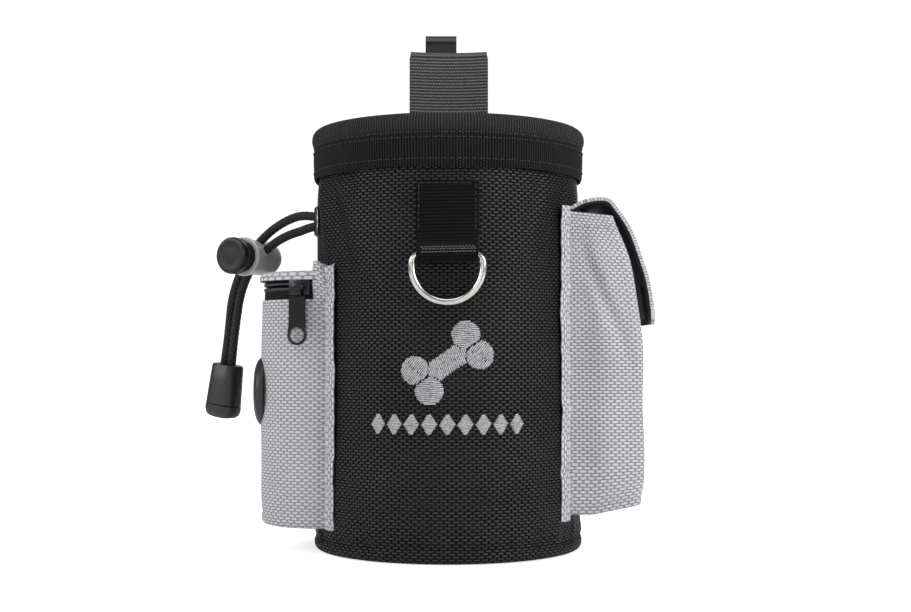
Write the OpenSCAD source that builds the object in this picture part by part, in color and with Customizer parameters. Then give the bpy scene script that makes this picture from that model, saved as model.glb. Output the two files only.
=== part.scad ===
// Treat pouch worn on a belt: a round fabric tube with a hooped rim, a drawcord collar,
// a ring tab on the front, a zipped bag pocket on the left and a flap pocket on the right.
// Millimetres, +Z up, front towards -Y, origin at the centre of the base underside.

/* [Tube] */
// Outer radius of the fabric tube
tube_r = 44; // [42:0.5:46]
// Height of the rim above the base
tube_h = 139.6; // [137:0.2:144]
// Thickness of the outer fabric
fabric_t = 1.2; // [0.8:0.1:1.2]
// Thickness of the lining and the collar
lining_t = 0.6; // [0.4:0.1:0.6]
// Height of the band folded over the rim
rim_band_h = 17; // [14:0.5:20]
// Radius of the roll around the rim hoop
roll_r = 3; // [2.6:0.1:3]

/* [Drawcord] */
// Height of the cord channel and its eyelet
cord_z = 109; // [107:0.5:110]
// Diameter of the drawcord
cord_d = 3; // [2.6:0.1:3]
// Radius of the arc the cord pair makes outside the tube
cord_arc_r = 34; // [32:0.5:36]
// Place of the cord lock on the arc, in degrees from the eyelet
lock_at = 48; // [44:1:50]
// Diameter of the cord lock
lock_d = 12; // [11:0.1:12]
// Travel of the cord lock's button
button_travel = 3.2; // [2.5:0.1:3.2]

/* [Ring tab] */
// Width of the webbing tab
tab_w = 19; // [16:0.5:19]
// Inner width of the D-ring
ring_in_w = 19.6; // [19.6:0.1:21]
// Diameter of the ring wire
ring_wire_d = 2.3; // [2.2:0.1:2.7]

/* [Zipped pocket] */
// Outer radius of the pocket's curved wall
left_r = 21; // [20:0.5:22]
// Distance from the tube's axis to the centre of the pocket's curve
left_x = 41.7; // [40:0.1:43]
// Underside of the pocket
left_z = 8; // [4:1:14]
// Height of the zip's centre line
zip_z = 86.8; // [80:0.2:86.8]
// Place of the slider on the curve, in degrees from the front
slider_at = 17.5; // [17.5:0.5:40]
// Radius of the bag outlet's hole
outlet_hole_r = 7; // [5:0.5:8]

/* [Flap pocket] */
// Half width of the pocket from front to back
right_hw = 21; // [16:0.5:21]
// Height of the pocket's mouth
right_top = 109.6; // [106:0.2:110]

/* [Back] */
// Width of the belt loop webbing
strap_w = 28.4; // [24:0.2:32]
// Thickness of the belt loop webbing
strap_t = 1.6; // [1.2:0.1:1.6]
// Width of the steel belt clip
clip_w = 11.8; // [9:0.2:14]
// Sideways place of the belt clip
clip_x = -3; // [-4:0.5:4]

/* [Hidden] */
$fn = 64;
clear = 0.05;
eps = 0.02;

// Tube
shell_in = tube_r - fabric_t;
lining_r = shell_in - 0.6;
lining_in = lining_r - lining_t;
roll_z = tube_h - roll_r;
roll_mid = tube_r - 1.1;
shell_top = roll_z - roll_r - 0.5;
band_r = tube_r + 1.3;
hoop_r = 1.5;

// Drawcord
cord_r = cord_d / 2;
pair = cord_r + clear;
channel_r = lining_in - 2.4;
collar_r = channel_r - cord_r - 0.3;
eyelet_turn = 8;
eyelet_hole = 3.55;
cord_turn = 30;
cord_start = tube_r + 1.4;
arc_end = 82;
tail_len = 19;
tail_gap = 0.75;

// Cord lock, measured along its axis from the cords
lock_r = lock_d / 2;
lock_front = -6;
lock_dome = 6;
stem_r = lock_r - 1.1;
stem_end = 4.5;
bore_end = stem_end + button_travel + 0.3;

// Ring tab
wire_r = ring_wire_d / 2;
bar_y = -(tube_r + 3.2);
bar_z = 95.4;
ring_r = ring_in_w / 2 + wire_r;
ring_leg = 3.8;

// Zipped pocket
wall_top = zip_z - 4.4;
lid_low = zip_z + 2.1;
lid_top = zip_z + 4.1;
coil_r = 0.6;
coil_path = left_r - 1.1;
coil_gap = 0.25;
pull_bar = left_r + 2.4;
outlet_z = 52;
outlet_r = 11.5;
seam_from = 27.5;
seam_to = 35.4;

// Flap pocket, profile of the outer face from the mouth down
right_face = [[53.8, right_top], [59, 95.5], [62.4, 78], [63.6, 60], [64, 30], [64, 19], [61.5, 13]];
right_low = 13.5;
right_rise = 1.2;
flap_line = [[38.5, 111.4], [47.2, 113.9], [52.3, 114.2], [58.9, 104.9], [64.8, 88.5], [66.6, 74.6]];

// Back, profile of the belt loop's middle line seen from the side
loop_arc = [for (a = [0:22.5:180]) [50.7 - 3.8 * cos(a), 173.1 + 3.8 * sin(a)]];
loop_line = concat([[44.9, 58], [44.9, 118], [46.9, 124]], loop_arc, [[54.5, 84], [46.6, 68], [46.6, 58]]);
clip_t = 1;
clip_y = 55.4;
clip_bend = [59.4, 182];
arm_line = [[62.9, 181.7], [62.9, 150], [58.5, 131], [59.3, 125], [62.6, 119]];
rivet_z = [136, 160];

// ---- helpers ----

function unit(v) = v / norm(v);
function side(p, q) = let (d = unit(q - p)) [-d[1], d[0]];
function mitre(pts, i) =
    let (last = len(pts) - 1)
    let (a = side(pts[max(i - 1, 0)], pts[max(i, 1)]))
    let (b = side(pts[min(i, last - 1)], pts[min(i + 1, last)]))
    (a + b) / (1 + a * b);
function shifted(pts, by) = [for (i = [0:len(pts) - 1]) pts[i] + by * mitre(pts, i)];
function reversed(v) = [for (i = [len(v) - 1:-1:0]) v[i]];

function run(v, from, to) = [for (i = [from:to]) v[i]];

// Strip between two offsets from a line
module strip(pts, lo, hi) {
    strip_part(pts, lo, hi, 0, len(pts) - 1);
}

// The same, from one point of the line to another, with its ends on the line's mitres
module strip_part(pts, lo, hi, from, to) {
    polygon(concat(run(shifted(pts, lo), from, to), reversed(run(shifted(pts, hi), from, to))));
}

// Ring wall around Z between two radii and two heights
module ring(lo_r, hi_r, lo_z, hi_z) {
    translate([0, 0, lo_z])
        difference() {
            cylinder(r = hi_r, h = hi_z - lo_z, $fn = 128);
            translate([0, 0, -1])
                cylinder(r = lo_r, h = hi_z - lo_z + 2, $fn = 128);
        }
}

// Cylinder along +X from the origin
module x_rod(r, from, to) {
    translate([from, 0, 0])
        rotate([0, 90, 0])
            cylinder(r = r, h = to - from);
}

// Cylinder along +Y
module y_rod(r, from, to) {
    translate([0, from, 0])
        rotate([-90, 0, 0])
            cylinder(r = r, h = to - from);
}

// Round rod with ball ends between two points
module rod(p, q, r) {
    d = q - p;
    translate(p) {
        sphere(r = r, $fn = 24);
        rotate([0, acos(d[2] / norm(d)), atan2(d[1], d[0])])
            cylinder(r = r, h = norm(d), $fn = 24);
    }
    translate(q)
        sphere(r = r, $fn = 24);
}

// Side profile in Y and Z, drawn as X and Y, given a width along X
module side_slab(x, w) {
    translate([x - w / 2, 0, 0])
        rotate([90, 0, 90])
            linear_extrude(height = w)
                children();
}

// Front profile in X and Z, given a depth along Y
module front_slab(hw) {
    translate([0, hw, 0])
        rotate([90, 0, 0])
            linear_extrude(height = 2 * hw)
                children();
}

// Eyelet direction: local -X points out through the eyelet
module at_eyelet() {
    rotate([0, 0, eyelet_turn])
        translate([0, 0, cord_z])
            children();
}

// Cord frame: origin where the cords leave the eyelet, local -X along their plane
module at_cord() {
    rotate([0, 0, eyelet_turn])
        translate([-cord_start, 0, cord_z])
            rotate([0, 0, -eyelet_turn - cord_turn])
                children();
}

// Frame on the cord arc: local -X along the cords, +Z away from the arc's centre
module on_arc(angle) {
    at_cord()
        translate([0, 0, -cord_arc_r])
            rotate([0, -angle, 0])
                translate([0, 0, cord_arc_r])
                    children();
}

// Zipped pocket frame: origin on the axis of its curve
module at_left() {
    translate([-left_x, 0, 0])
        children();
}

// Slider frame: local -Y points out of the pocket
module at_slider() {
    at_left()
        rotate([0, 0, -slider_at])
            translate([0, 0, zip_z])
                children();
}

// Plan of the zipped pocket: half round with straight sides back to the tube
module left_plan(r) {
    circle(r = r, $fn = 96);
    translate([0, -r])
        square([6, 2 * r]);
}

// Wall of the zipped pocket's plan between two radii and heights, cut clear of the tube
module left_wall(lo_r, hi_r, lo_z, hi_z) {
    difference() {
        at_left()
            translate([0, 0, lo_z])
                linear_extrude(height = hi_z - lo_z)
                    difference() {
                        left_plan(hi_r);
                        left_plan(lo_r);
                        translate([2, -lo_r])
                            square([6, 2 * lo_r]);
                    }
        translate([0, 0, lo_z - 1])
            cylinder(r = tube_r + clear, h = hi_z - lo_z + 2, $fn = 128);
    }
}

// Seam strips that lie on the tube on both sides of a pocket
module seam_strips(from_z, to_z, dir) {
    intersection() {
        ring(tube_r + clear, tube_r + 1.4, from_z, to_z);
        for (s = [-1, 1])
            linear_extrude(height = to_z + 10)
                polygon([[0, 0], 90 * [dir * cos(seam_from), s * sin(seam_from)],
                         90 * [dir * cos(seam_to), s * sin(seam_to)]]);
    }
}

// Bead around the zipped pocket's curve
module coil(z) {
    at_left()
        translate([0, 0, z])
            rotate([0, 0, 97])
                rotate_extrude(angle = 166)
                    translate([coil_path, 0])
                        circle(r = coil_r, $fn = 24);
}

// ---- tube ----

module outer_shell() {
    color([0.06, 0.06, 0.07])
        difference() {
            ring(shell_in, tube_r, 0, shell_top);
            at_eyelet()
                x_rod(4.05, -tube_r - 2, -tube_r + 4);
        }
}

module base_panel() {
    color([0.06, 0.06, 0.07])
        cylinder(r = shell_in - clear, h = fabric_t, $fn = 128);
}

module base_stiffener() {
    color([0.25, 0.25, 0.27])
        translate([0, 0, fabric_t + clear])
            cylinder(r = lining_r - 0.6, h = 1.5, $fn = 128);
}

module lining() {
    color([0.12, 0.12, 0.13])
        difference() {
            translate([0, 0, 2.9])
                cylinder(r = lining_r, h = shell_top - 2.9, $fn = 128);
            translate([0, 0, 2.9 + lining_t])
                cylinder(r = lining_in, h = shell_top, $fn = 128);
            at_eyelet()
                x_rod(4.05, -tube_r - 2, -tube_r + 5);
        }
}

module drawstring_collar() {
    outer = lining_in - clear;
    color([0.10, 0.10, 0.11])
        difference() {
            rotate_extrude($fn = 128)
                polygon([[collar_r - lining_t, cord_z - 4.6], [outer, cord_z - 4.6], [outer, cord_z - 4],
                         [collar_r, cord_z - 4], [collar_r, cord_z + 4], [outer, cord_z + 4],
                         [outer, cord_z + 4.6], [collar_r, cord_z + 4.6], [collar_r, cord_z + 9],
                         [lining_in - 1.3, shell_top - 2], [lining_in - 1.3 - lining_t, shell_top - 2],
                         [collar_r - lining_t, cord_z + 9]]);
            at_eyelet()
                x_rod(6.8, -tube_r, -lining_in + 1.1);
        }
}

module rim_hoop() {
    color([0.55, 0.56, 0.58])
        translate([0, 0, roll_z])
            rotate_extrude($fn = 128)
                translate([roll_mid, 0])
                    circle(r = hoop_r, $fn = 24);
}

module rim_binding() {
    color([0.08, 0.08, 0.09])
        rotate_extrude($fn = 128)
            difference() {
                union() {
                    translate([roll_mid, roll_z])
                        circle(r = roll_r, $fn = 48);
                    translate([tube_r + clear, tube_h - rim_band_h])
                        square([band_r - tube_r - clear, rim_band_h - roll_r]);
                    translate([lining_in - 1.2, roll_z - 8])
                        square([1.2 - clear, 8]);
                }
                translate([roll_mid, roll_z])
                    circle(r = hoop_r + 0.1, $fn = 24);
            }
}

// ---- drawcord, eyelet and lock ----

module drawcord() {
    color([0.09, 0.09, 0.10]) {
        at_eyelet() {
            rotate([0, 0, 185])
                rotate_extrude(angle = 350, $fn = 96)
                    translate([channel_r, 0])
                        circle(r = cord_r, $fn = 24);
            for (s = [-1, 1]) {
                rod([-channel_r * cos(5), s * channel_r * sin(5), 0],
                    [-channel_r - 0.6, 0, s * pair], cord_r);
                rod([-channel_r - 0.6, 0, s * pair], [-cord_start, 0, s * pair], cord_r);
            }
        }
        for (s = [-1, 1])
            at_cord()
                translate([0, 0, -cord_arc_r])
                    rotate([90, 0, 0])
                        rotate([0, 0, 90])
                            rotate_extrude(angle = arc_end, $fn = 128)
                                translate([cord_arc_r + s * pair, 0])
                                    circle(r = cord_r, $fn = 24);
    }
}

module cord_eyelet() {
    color([0.30, 0.30, 0.32])
        at_eyelet()
            difference() {
                intersection() {
                    union() {
                        x_rod(4.9, -tube_r - 3, -tube_r + 1);
                        x_rod(4, -tube_r - 1, -lining_in + 0.8);
                    }
                    translate([0, 0, -10])
                        cylinder(r = tube_r + 0.95, h = 20, $fn = 128);
                }
                x_rod(eyelet_hole, -tube_r - 5, -30);
                difference() {
                    translate([0, 0, -10])
                        cylinder(r = tube_r + clear, h = 20, $fn = 128);
                    x_rod(4, -tube_r - 5, -30);
                }
            }
}

module eyelet_washer() {
    color([0.70, 0.70, 0.72])
        at_eyelet()
            intersection() {
                ring(lining_in - 0.6, lining_in - clear, -10, 10);
                difference() {
                    x_rod(6.2, -tube_r, -30);
                    x_rod(4.05, -tube_r - 1, -29);
                }
            }
}

module lock_barrel() {
    color([0.62, 0.62, 0.63])
        on_arc(lock_at)
            difference() {
                union() {
                    y_rod(lock_r + 0.6, lock_front, lock_front + 2);
                    y_rod(lock_r, lock_front + 1, lock_dome);
                    translate([0, lock_dome, 0])
                        sphere(r = lock_r);
                }
                y_rod(stem_r + 0.1, lock_front - 1, bore_end);
                y_rod(3, 0, bore_end + 2.1);
                cord_slot(lock_r + 2, -cord_r - 0.3, cord_r + 0.3, 1.3);
            }
}

// Slot across the lock for the cord pair, longer inwards where the cords curve away
module cord_slot(reach, from_y, to_y, sag) {
    translate([-reach, from_y, -2 * pair - 0.2 - sag / 2])
        cube([2 * reach, to_y - from_y, 4 * pair + 0.4 + sag / 2]);
}

module lock_button() {
    color([0.04, 0.04, 0.04])
        on_arc(lock_at)
            difference() {
                union() {
                    y_rod(stem_r, lock_front - 4, stem_end);
                    intersection() {
                        translate([0, lock_front - 1.2, 0])
                            sphere(r = lock_r + 0.6);
                        y_rod(lock_r + 2, lock_front - 12, lock_front - button_travel - 0.1);
                    }
                }
                cord_slot(lock_r + 2, -cord_r - 0.3 - button_travel, cord_r + 0.3, 0.9);
            }
}

// Spring at its pressed length, so its turns touch
module lock_spring() {
    color([0.75, 0.75, 0.77])
        on_arc(lock_at)
            for (i = [0:2])
                translate([0, bore_end + 0.5 + i * 0.55, 0])
                    rotate([90, 0, 0])
                        rotate_extrude()
                            translate([2.3, 0])
                                circle(r = 0.35, $fn = 16);
}

module tail_cords() {
    color([0.09, 0.09, 0.10])
        on_arc(arc_end)
            for (s = [-1, 1])
                translate([0, 0, s * pair])
                    x_rod(cord_r, -tail_len - 12, -tail_gap);
}

module cord_end_shell() {
    color([0.07, 0.07, 0.07])
        on_arc(arc_end)
            difference() {
                intersection() {
                    translate([-tail_len, 0, 0])
                        rotate([0, -90, 0])
                            cylinder(r1 = 5.3, r2 = 6.1, h = 14);
                    translate([-tail_len - 20, -4.4, -10])
                        cube([22, 8.8, 20]);
                }
                for (s = [-1, 1])
                    translate([0, 0, s * pair])
                        x_rod(cord_r + 0.1, -tail_len - 20, 0);
                translate([-tail_len - 20, -1.2, -pair])
                    cube([30, 2.4, 2 * pair]);
            }
}

module cord_end_cap() {
    color([0.08, 0.08, 0.08])
        on_arc(arc_end)
            translate([-tail_len - 14.1, 0, 0])
                intersection() {
                    translate([0.9, 0, 0])
                        sphere(r = 6.2);
                    translate([-4, -4.5, -7])
                        cube([4, 9, 14]);
                }
}

// ---- ring tab ----

module ring_tab() {
    color([0.08, 0.08, 0.09])
        difference() {
            union() {
                intersection() {
                    ring(tube_r + clear, tube_r + 2.6, bar_z + 3, 118);
                    translate([-tab_w / 2, -tube_r - 10, 0])
                        cube([tab_w, tube_r, 150]);
                }
                side_slab(0, tab_w)
                    polygon([[bar_y - 2.75, bar_z], [-tube_r - 2.6, bar_z + 7], [-tube_r - 0.6, bar_z + 7],
                             [bar_y + 2.75, bar_z]]);
                translate([0, bar_y, bar_z])
                    x_rod(2.75, -tab_w / 2, tab_w / 2);
            }
            translate([0, bar_y, bar_z])
                x_rod(wire_r + 0.1, -tab_w, tab_w);
        }
}

module d_ring() {
    color([0.80, 0.80, 0.78])
        translate([0, bar_y, bar_z]) {
            x_rod(wire_r, -ring_r, ring_r);
            for (s = [-1, 1])
                translate([s * ring_r, 0, 0]) {
                    sphere(r = wire_r, $fn = 32);
                    translate([0, 0, -ring_leg])
                        cylinder(r = wire_r, h = ring_leg, $fn = 32);
                }
            translate([0, 0, -ring_leg])
                rotate([90, 0, 0])
                    rotate([0, 0, 180])
                        rotate_extrude(angle = 180)
                            translate([ring_r, 0])
                                circle(r = wire_r, $fn = 32);
        }
}

// ---- belt loop and clip ----

module back_strap() {
    color([0.10, 0.10, 0.11])
        difference() {
            intersection() {
                rotate([0, 0, 60])
                    rotate_extrude(angle = 60, $fn = 128)
                        strip(loop_line, -strap_t / 2, strap_t / 2);
                translate([-strap_w / 2, 0, 0])
                    cube([strap_w, 80, 200]);
            }
            for (z = rivet_z)
                translate([clip_x, 0, z])
                    y_rod(2.05, 50, 60);
        }
}

module clip_base() {
    color([0.22, 0.22, 0.24])
        difference() {
            side_slab(clip_x, clip_w) {
                translate([clip_y, 122])
                    square([clip_t, clip_bend[1] - 122]);
                difference() {
                    translate(clip_bend)
                        circle(r = clip_bend[0] - clip_y);
                    translate(clip_bend)
                        circle(r = clip_bend[0] - clip_y - clip_t);
                    translate([clip_y - 1, clip_bend[1] - 10])
                        square([12, 10]);
                }
            }
            for (z = rivet_z)
                translate([clip_x, 0, z])
                    y_rod(2.05, 50, 60);
        }
}

module clip_rivets() {
    color([0.60, 0.60, 0.62])
        for (z = rivet_z)
            translate([clip_x, 0, z]) {
                y_rod(2, 53, clip_y + clip_t + 0.4);
                y_rod(3.3, 52.4, 53.25);
                y_rod(3.3, clip_y + clip_t + clear, clip_y + clip_t + 0.8);
            }
}

module clip_arm() {
    color([0.22, 0.22, 0.24])
        side_slab(clip_x, clip_w)
            strip(arm_line, -clip_t / 2, clip_t / 2);
}

// ---- zipped pocket ----

module left_pocket() {
    color([0.62, 0.63, 0.66])
        difference() {
            union() {
                left_wall(left_r - 1.1, left_r, left_z, wall_top);
                difference() {
                    at_left()
                        translate([0, 0, left_z])
                            linear_extrude(height = fabric_t)
                                left_plan(left_r);
                    translate([0, 0, left_z - 1])
                        cylinder(r = tube_r + clear, h = 10, $fn = 128);
                }
            }
            translate([0, 0, outlet_z])
                x_rod(outlet_hole_r + 0.6, -80, -50);
        }
}

// Turned edges that sew the zipped pocket to the tube, clear of its wall
module left_seams() {
    color([0.60, 0.61, 0.64])
        difference() {
            seam_strips(left_z, lid_low - 0.2, -1);
            at_left()
                translate([0, 0, left_z - 1])
                    linear_extrude(height = 100)
                        left_plan(left_r + clear);
        }
}

module pocket_lid() {
    color([0.62, 0.63, 0.66])
        difference() {
            union() {
                left_wall(left_r - 1.1, left_r, lid_low, lid_top);
                at_left()
                    translate([0, 0, lid_top - fabric_t])
                        linear_extrude(height = fabric_t)
                            left_plan(left_r);
            }
            cylinder(r = tube_r + clear, h = 200, $fn = 128);
        }
}

module zip_tape_lower() {
    color([0.07, 0.07, 0.08])
        left_wall(left_r - 1.9, left_r - 1.2, wall_top - 3.4, zip_z - coil_gap - 2 * coil_r - clear);
}

module zip_tape_upper() {
    color([0.07, 0.07, 0.08])
        left_wall(left_r - 1.9, left_r - 1.2,
                  zip_z + coil_gap + 2 * coil_r + clear, lid_top - fabric_t - clear);
}

module zip_coil_lower() {
    color([0.04, 0.04, 0.05])
        coil(zip_z - coil_gap - coil_r);
}

module zip_coil_upper() {
    color([0.04, 0.04, 0.05])
        coil(zip_z + coil_gap + coil_r);
}

module zip_stops() {
    color([0.30, 0.30, 0.32])
        at_left()
            for (a = [3.5, 176.5])
                rotate([0, 0, -a])
                    translate([-0.7, -coil_path - 0.7, zip_z - 1.4])
                        cube([1.4, 1.4, 2.8]);
}

module zip_slider() {
    color([0.16, 0.16, 0.17])
        at_slider() {
            for (y = [-left_r - 0.95, -left_r + 2.3])
                translate([-3.6, y, -3])
                    cube([7.2, 0.9, 5]);
            translate([-1, -left_r - 0.5, -0.2])
                cube([2, 3, 0.4]);
            for (s = [-1, 1])
                translate([s * 1.9 - 0.4, -pull_bar - 0.6, -1.2])
                    cube([0.8, pull_bar - left_r - 0.2, 1.4]);
            translate([0, -pull_bar, -0.5])
                x_rod(0.7, -1.9, 1.9);
        }
}

module zip_pull() {
    color([0.14, 0.14, 0.15])
        at_slider()
            translate([0, -pull_bar, -0.5])
                difference() {
                    union() {
                        x_rod(1.3, -1.4, 1.4);
                        translate([-1.4, -0.6, -3])
                            cube([2.8, 1.2, 3]);
                        translate([-2.5, -0.6, -14])
                            cube([5, 1.2, 11.6]);
                        translate([0, 0, -15.5])
                            y_rod(3.3, -0.6, 0.6);
                    }
                    x_rod(0.78, -3, 3);
                    translate([0, 0, -15.5])
                        y_rod(2.4, -2, 2);
                }
}

module bag_outlet() {
    color([0.05, 0.05, 0.05])
        difference() {
            intersection() {
                union() {
                    translate([0, 0, outlet_z])
                        x_rod(outlet_r, -left_x - left_r - 1.2, -50);
                    translate([-left_x - left_r - 1.2, 0, outlet_z])
                        rotate([0, -90, 0])
                            cylinder(r1 = outlet_r, r2 = outlet_r - 1.6, h = 0.8);
                }
                translate([-90, -20, 0])
                    cube([45, 40, 90]);
            }
            at_left()
                cylinder(r = left_r + clear, h = 90, $fn = 96);
            translate([0, 0, outlet_z])
                x_rod(outlet_hole_r, -80, -50);
        }
}

module outlet_backing() {
    color([0.05, 0.05, 0.05])
        intersection() {
            at_left()
                ring(left_r - 2.4, left_r - 1.1 - clear, outlet_z - 12, outlet_z + 12);
            difference() {
                translate([0, 0, outlet_z])
                    x_rod(outlet_r - 1, -80, -50);
                translate([0, 0, outlet_z])
                    x_rod(outlet_hole_r, -81, -49);
            }
        }
}

// ---- flap pocket ----

module right_profile() {
    polygon(concat([[36, right_low], [36, right_top + right_rise]], right_face));
}

module right_pocket() {
    color([0.62, 0.63, 0.66]) {
        difference() {
            front_slab(right_hw)
                right_profile();
            translate([-fabric_t, 0, fabric_t])
                front_slab(right_hw - fabric_t)
                    right_profile();
            translate([0, 0, right_top - 4.5])
                front_slab(right_hw - fabric_t)
                    translate([30, 0])
                        square([22.5, 20]);
            cylinder(r = tube_r + clear, h = 200, $fn = 128);
        }
        seam_strips(right_low + 1, 116, 1);
    }
}

module loop_patch() {
    color([0.10, 0.10, 0.11])
        front_slab(12)
            strip([[60.85, 86], [62.4, 78], [62.8, 72]], 0.1, 0.9);
}

// Sewn end of the flap, up to its fold
module flap_root() {
    color([0.58, 0.59, 0.62])
        difference() {
            translate([-0.3, 0, -0.1])
                front_slab(right_hw - 1)
                    strip_part(flap_line, -0.2, fabric_t, 0, 2);
            cylinder(r = tube_r + clear, h = 200, $fn = 128);
        }
}

module flap_shell() {
    color([0.58, 0.59, 0.62])
        front_slab(right_hw - 1)
            strip_part(flap_line, 0, fabric_t, 2, 5);
}

module flap_lining() {
    color([0.09, 0.09, 0.10])
        front_slab(right_hw - 1.6)
            strip_part(flap_line, -0.8, -clear, 2, 5);
}

module hook_patch() {
    color([0.06, 0.06, 0.07])
        front_slab(11)
            intersection() {
                strip_part(flap_line, -1.8, -0.8 - clear, 4, 5);
                translate([50, 75.5])
                    square([30, 10]);
            }
}

// ---- embroidery ----

// Keeps the part of a front profile that lies just outside the tube's surface
module on_front(thick) {
    intersection() {
        ring(tube_r + eps, tube_r + thick, 20, 90);
        translate([0, -20, 0])
            rotate([90, 0, 0])
                linear_extrude(height = 40)
                    children();
    }
}

module emblem() {
    color([0.66, 0.67, 0.69])
        on_front(0.6)
            translate([0, 62])
                rotate([0, 0, 35])
                    union() {
                        square([16, 6.4], center = true);
                        for (sx = [-1, 1])
                            for (sy = [-1, 1])
                                translate([sx * 9.4, sy * 3.7])
                                    circle(r = 4.3);
                    }
}

module emblem_border() {
    color([0.66, 0.67, 0.69])
        on_front(0.5)
            for (i = [-4:4])
                translate([i * 5.6, 43])
                    polygon([[-2.4, 0], [0, -3.4], [2.4, 0], [0, 3.4]]);
}

// ---- nodes ----

outer_shell();
base_panel();
base_stiffener();
lining();
drawstring_collar();
rim_hoop();
rim_binding();
drawcord();
cord_eyelet();
eyelet_washer();
ring_tab();
d_ring();
back_strap();
clip_base();
clip_rivets();
clip_arm();
left_pocket();
left_seams();
pocket_lid();
zip_tape_lower();
zip_tape_upper();
zip_coil_lower();
zip_coil_upper();
zip_stops();
zip_slider();
zip_pull();
bag_outlet();
outlet_backing();
right_pocket();
loop_patch();
flap_root();
flap_shell();
flap_lining();
hook_patch();
lock_barrel();
lock_button();
lock_spring();
tail_cords();
cord_end_shell();
cord_end_cap();
emblem();
emblem_border();
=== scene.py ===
"""Treat pouch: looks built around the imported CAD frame.

Lengths are millimetres until add_mesh turns them into metres.
"""
import math

import bmesh
import bpy
import numpy as np
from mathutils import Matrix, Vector


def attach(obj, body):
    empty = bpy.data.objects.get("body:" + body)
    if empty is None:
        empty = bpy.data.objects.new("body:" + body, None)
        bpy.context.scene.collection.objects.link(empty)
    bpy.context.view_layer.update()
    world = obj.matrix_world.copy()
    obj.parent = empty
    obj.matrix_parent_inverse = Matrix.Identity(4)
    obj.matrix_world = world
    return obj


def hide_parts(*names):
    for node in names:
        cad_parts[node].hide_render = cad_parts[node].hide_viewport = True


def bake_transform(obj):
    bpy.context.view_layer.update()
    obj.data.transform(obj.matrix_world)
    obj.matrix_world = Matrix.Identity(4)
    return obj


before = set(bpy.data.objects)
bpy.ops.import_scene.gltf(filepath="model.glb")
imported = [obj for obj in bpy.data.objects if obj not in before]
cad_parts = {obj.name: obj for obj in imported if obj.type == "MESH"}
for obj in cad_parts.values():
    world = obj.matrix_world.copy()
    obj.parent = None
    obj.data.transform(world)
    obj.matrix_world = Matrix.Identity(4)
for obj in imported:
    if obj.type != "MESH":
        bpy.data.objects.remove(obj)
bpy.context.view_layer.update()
MM = 0.001

# ---- sizes shared by several pieces, in mm ----
TUBE_R, WALL_MID_R = 44.0, 43.5
POCKET_X, POCKET_R, SEAM_X = -41.7, 21.0, -38.7
CLIP_X, CLIP_WIDTH, CLIP_THICK = -3.0, 11.8, 1.0
ZIP_Z = 86.8
SLIDER_AT = math.radians(17.5)
PULL_BAR = 23.4
BAR_Y, BAR_Z = -47.2, 95.4
EYELET_TURN, CORD_TURN = math.radians(8), math.radians(30)
CORD_Z, CORD_START, ARC_R = 109.0, 45.4, 34.0
ARC_END, LOCK_AT = math.radians(82), math.radians(48)
CORD_R, PAIR, TAIL_LEN = 1.5, 1.55, 19.0
BRAID_PITCH, BRAID_STRANDS = 3.4, 6
# ROLL_FROM: height from which the rim tape gets its painted top highlight
RIM_EDGE, ROLL_FROM = 124, 132.6
# gathers under the rim: angle round the tube, slope, width, depth and reach below the rim
PUCKERS = [(-162, 0.35, 4.0, 0.9, 26), (-150, 0.5, 3.5, -0.6, 30), (-141, 0.3, 4.5, 0.7, 24),
        (-128, -0.2, 5.0, 0.4, 20), (-52, -0.3, 5.0, 0.5, 22), (-41, -0.45, 4.0, 0.8, 30),
        (-30, -0.3, 4.0, -0.6, 26), (-60, -0.6, 4.0, -0.35, 26), (60, 0.4, 5.0, 0.6, 28),
        (125, -0.3, 5.0, 0.6, 26), (150, 0.3, 4.0, 0.5, 22), (25, -0.3, 4.0, 0.5, 22)]
FOLD_DEPTH = 1.5
# soft ridges of the body: angle round the tube, height, tilt, half length, half width, rise
RIDGES = [(-106, 27, 24, 20, 4.0, 0.9), (-74, 20, 31, 15, 3.5, 0.9), (-120, 16, -40, 12, 3.5, 0.8),
        (-62, 31, -50, 14, 4.0, 0.7), (-92, 15, 8, 24, 3.0, -0.6), (-117, 88, -52, 18, 3.5, 0.8),
        (-66, 92, 55, 17, 3.5, 0.8), (-122, 70, 62, 15, 4.0, -0.6), (-60, 66, 70, 16, 4.0, 0.7),
        (62, 32, 30, 18, 4.5, 0.9), (118, 26, -35, 20, 4.5, 0.9), (96, 38, 15, 22, 5.0, -0.7),
        (56, 98, -50, 18, 4.0, 0.8), (128, 96, 55, 16, 4.0, 0.8)]


# ---- mesh helpers ----

def add_mesh(name, verts, faces, loop_uv=None, sharp=None):
    """A mesh object from points in mm; loop_uv is in mm of cloth per face corner."""
    me = bpy.data.meshes.new(name)
    me.from_pydata((np.asarray(verts, float) * MM).tolist(), [],
            faces if isinstance(faces, list) else faces.tolist())
    if loop_uv is not None:
        layer = me.uv_layers.new(name="cloth")
        layer.data.foreach_set("uv", np.asarray(loop_uv, np.float32).ravel())
    bm = bmesh.new()
    bm.from_mesh(me)
    bmesh.ops.recalc_face_normals(bm, faces=bm.faces)
    bm.to_mesh(me)
    bm.free()
    me.polygons.foreach_set("use_smooth", [True] * len(me.polygons))
    me.update()
    o = bpy.data.objects.new(name, me)
    bpy.context.scene.collection.objects.link(o)
    if sharp is not None:
        me.set_sharp_from_angle(angle=math.radians(sharp))
    return o


def finish_piece(o, body, mat, replaces=()):
    """Gives a piece its material and body, and hides the CAD nodes it stands for."""
    o.data.materials.clear()
    for m in (mat if isinstance(mat, (list, tuple)) else [mat]):
        o.data.materials.append(m)
    if body:
        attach(o, body)
    if replaces:
        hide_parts(*replaces)
    return o


def arc_lengths(points):
    """Running length along a list of points, starting at 0."""
    d = np.linalg.norm(np.diff(points, axis=0), axis=1)
    return np.concatenate([[0], np.cumsum(d)])


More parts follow.
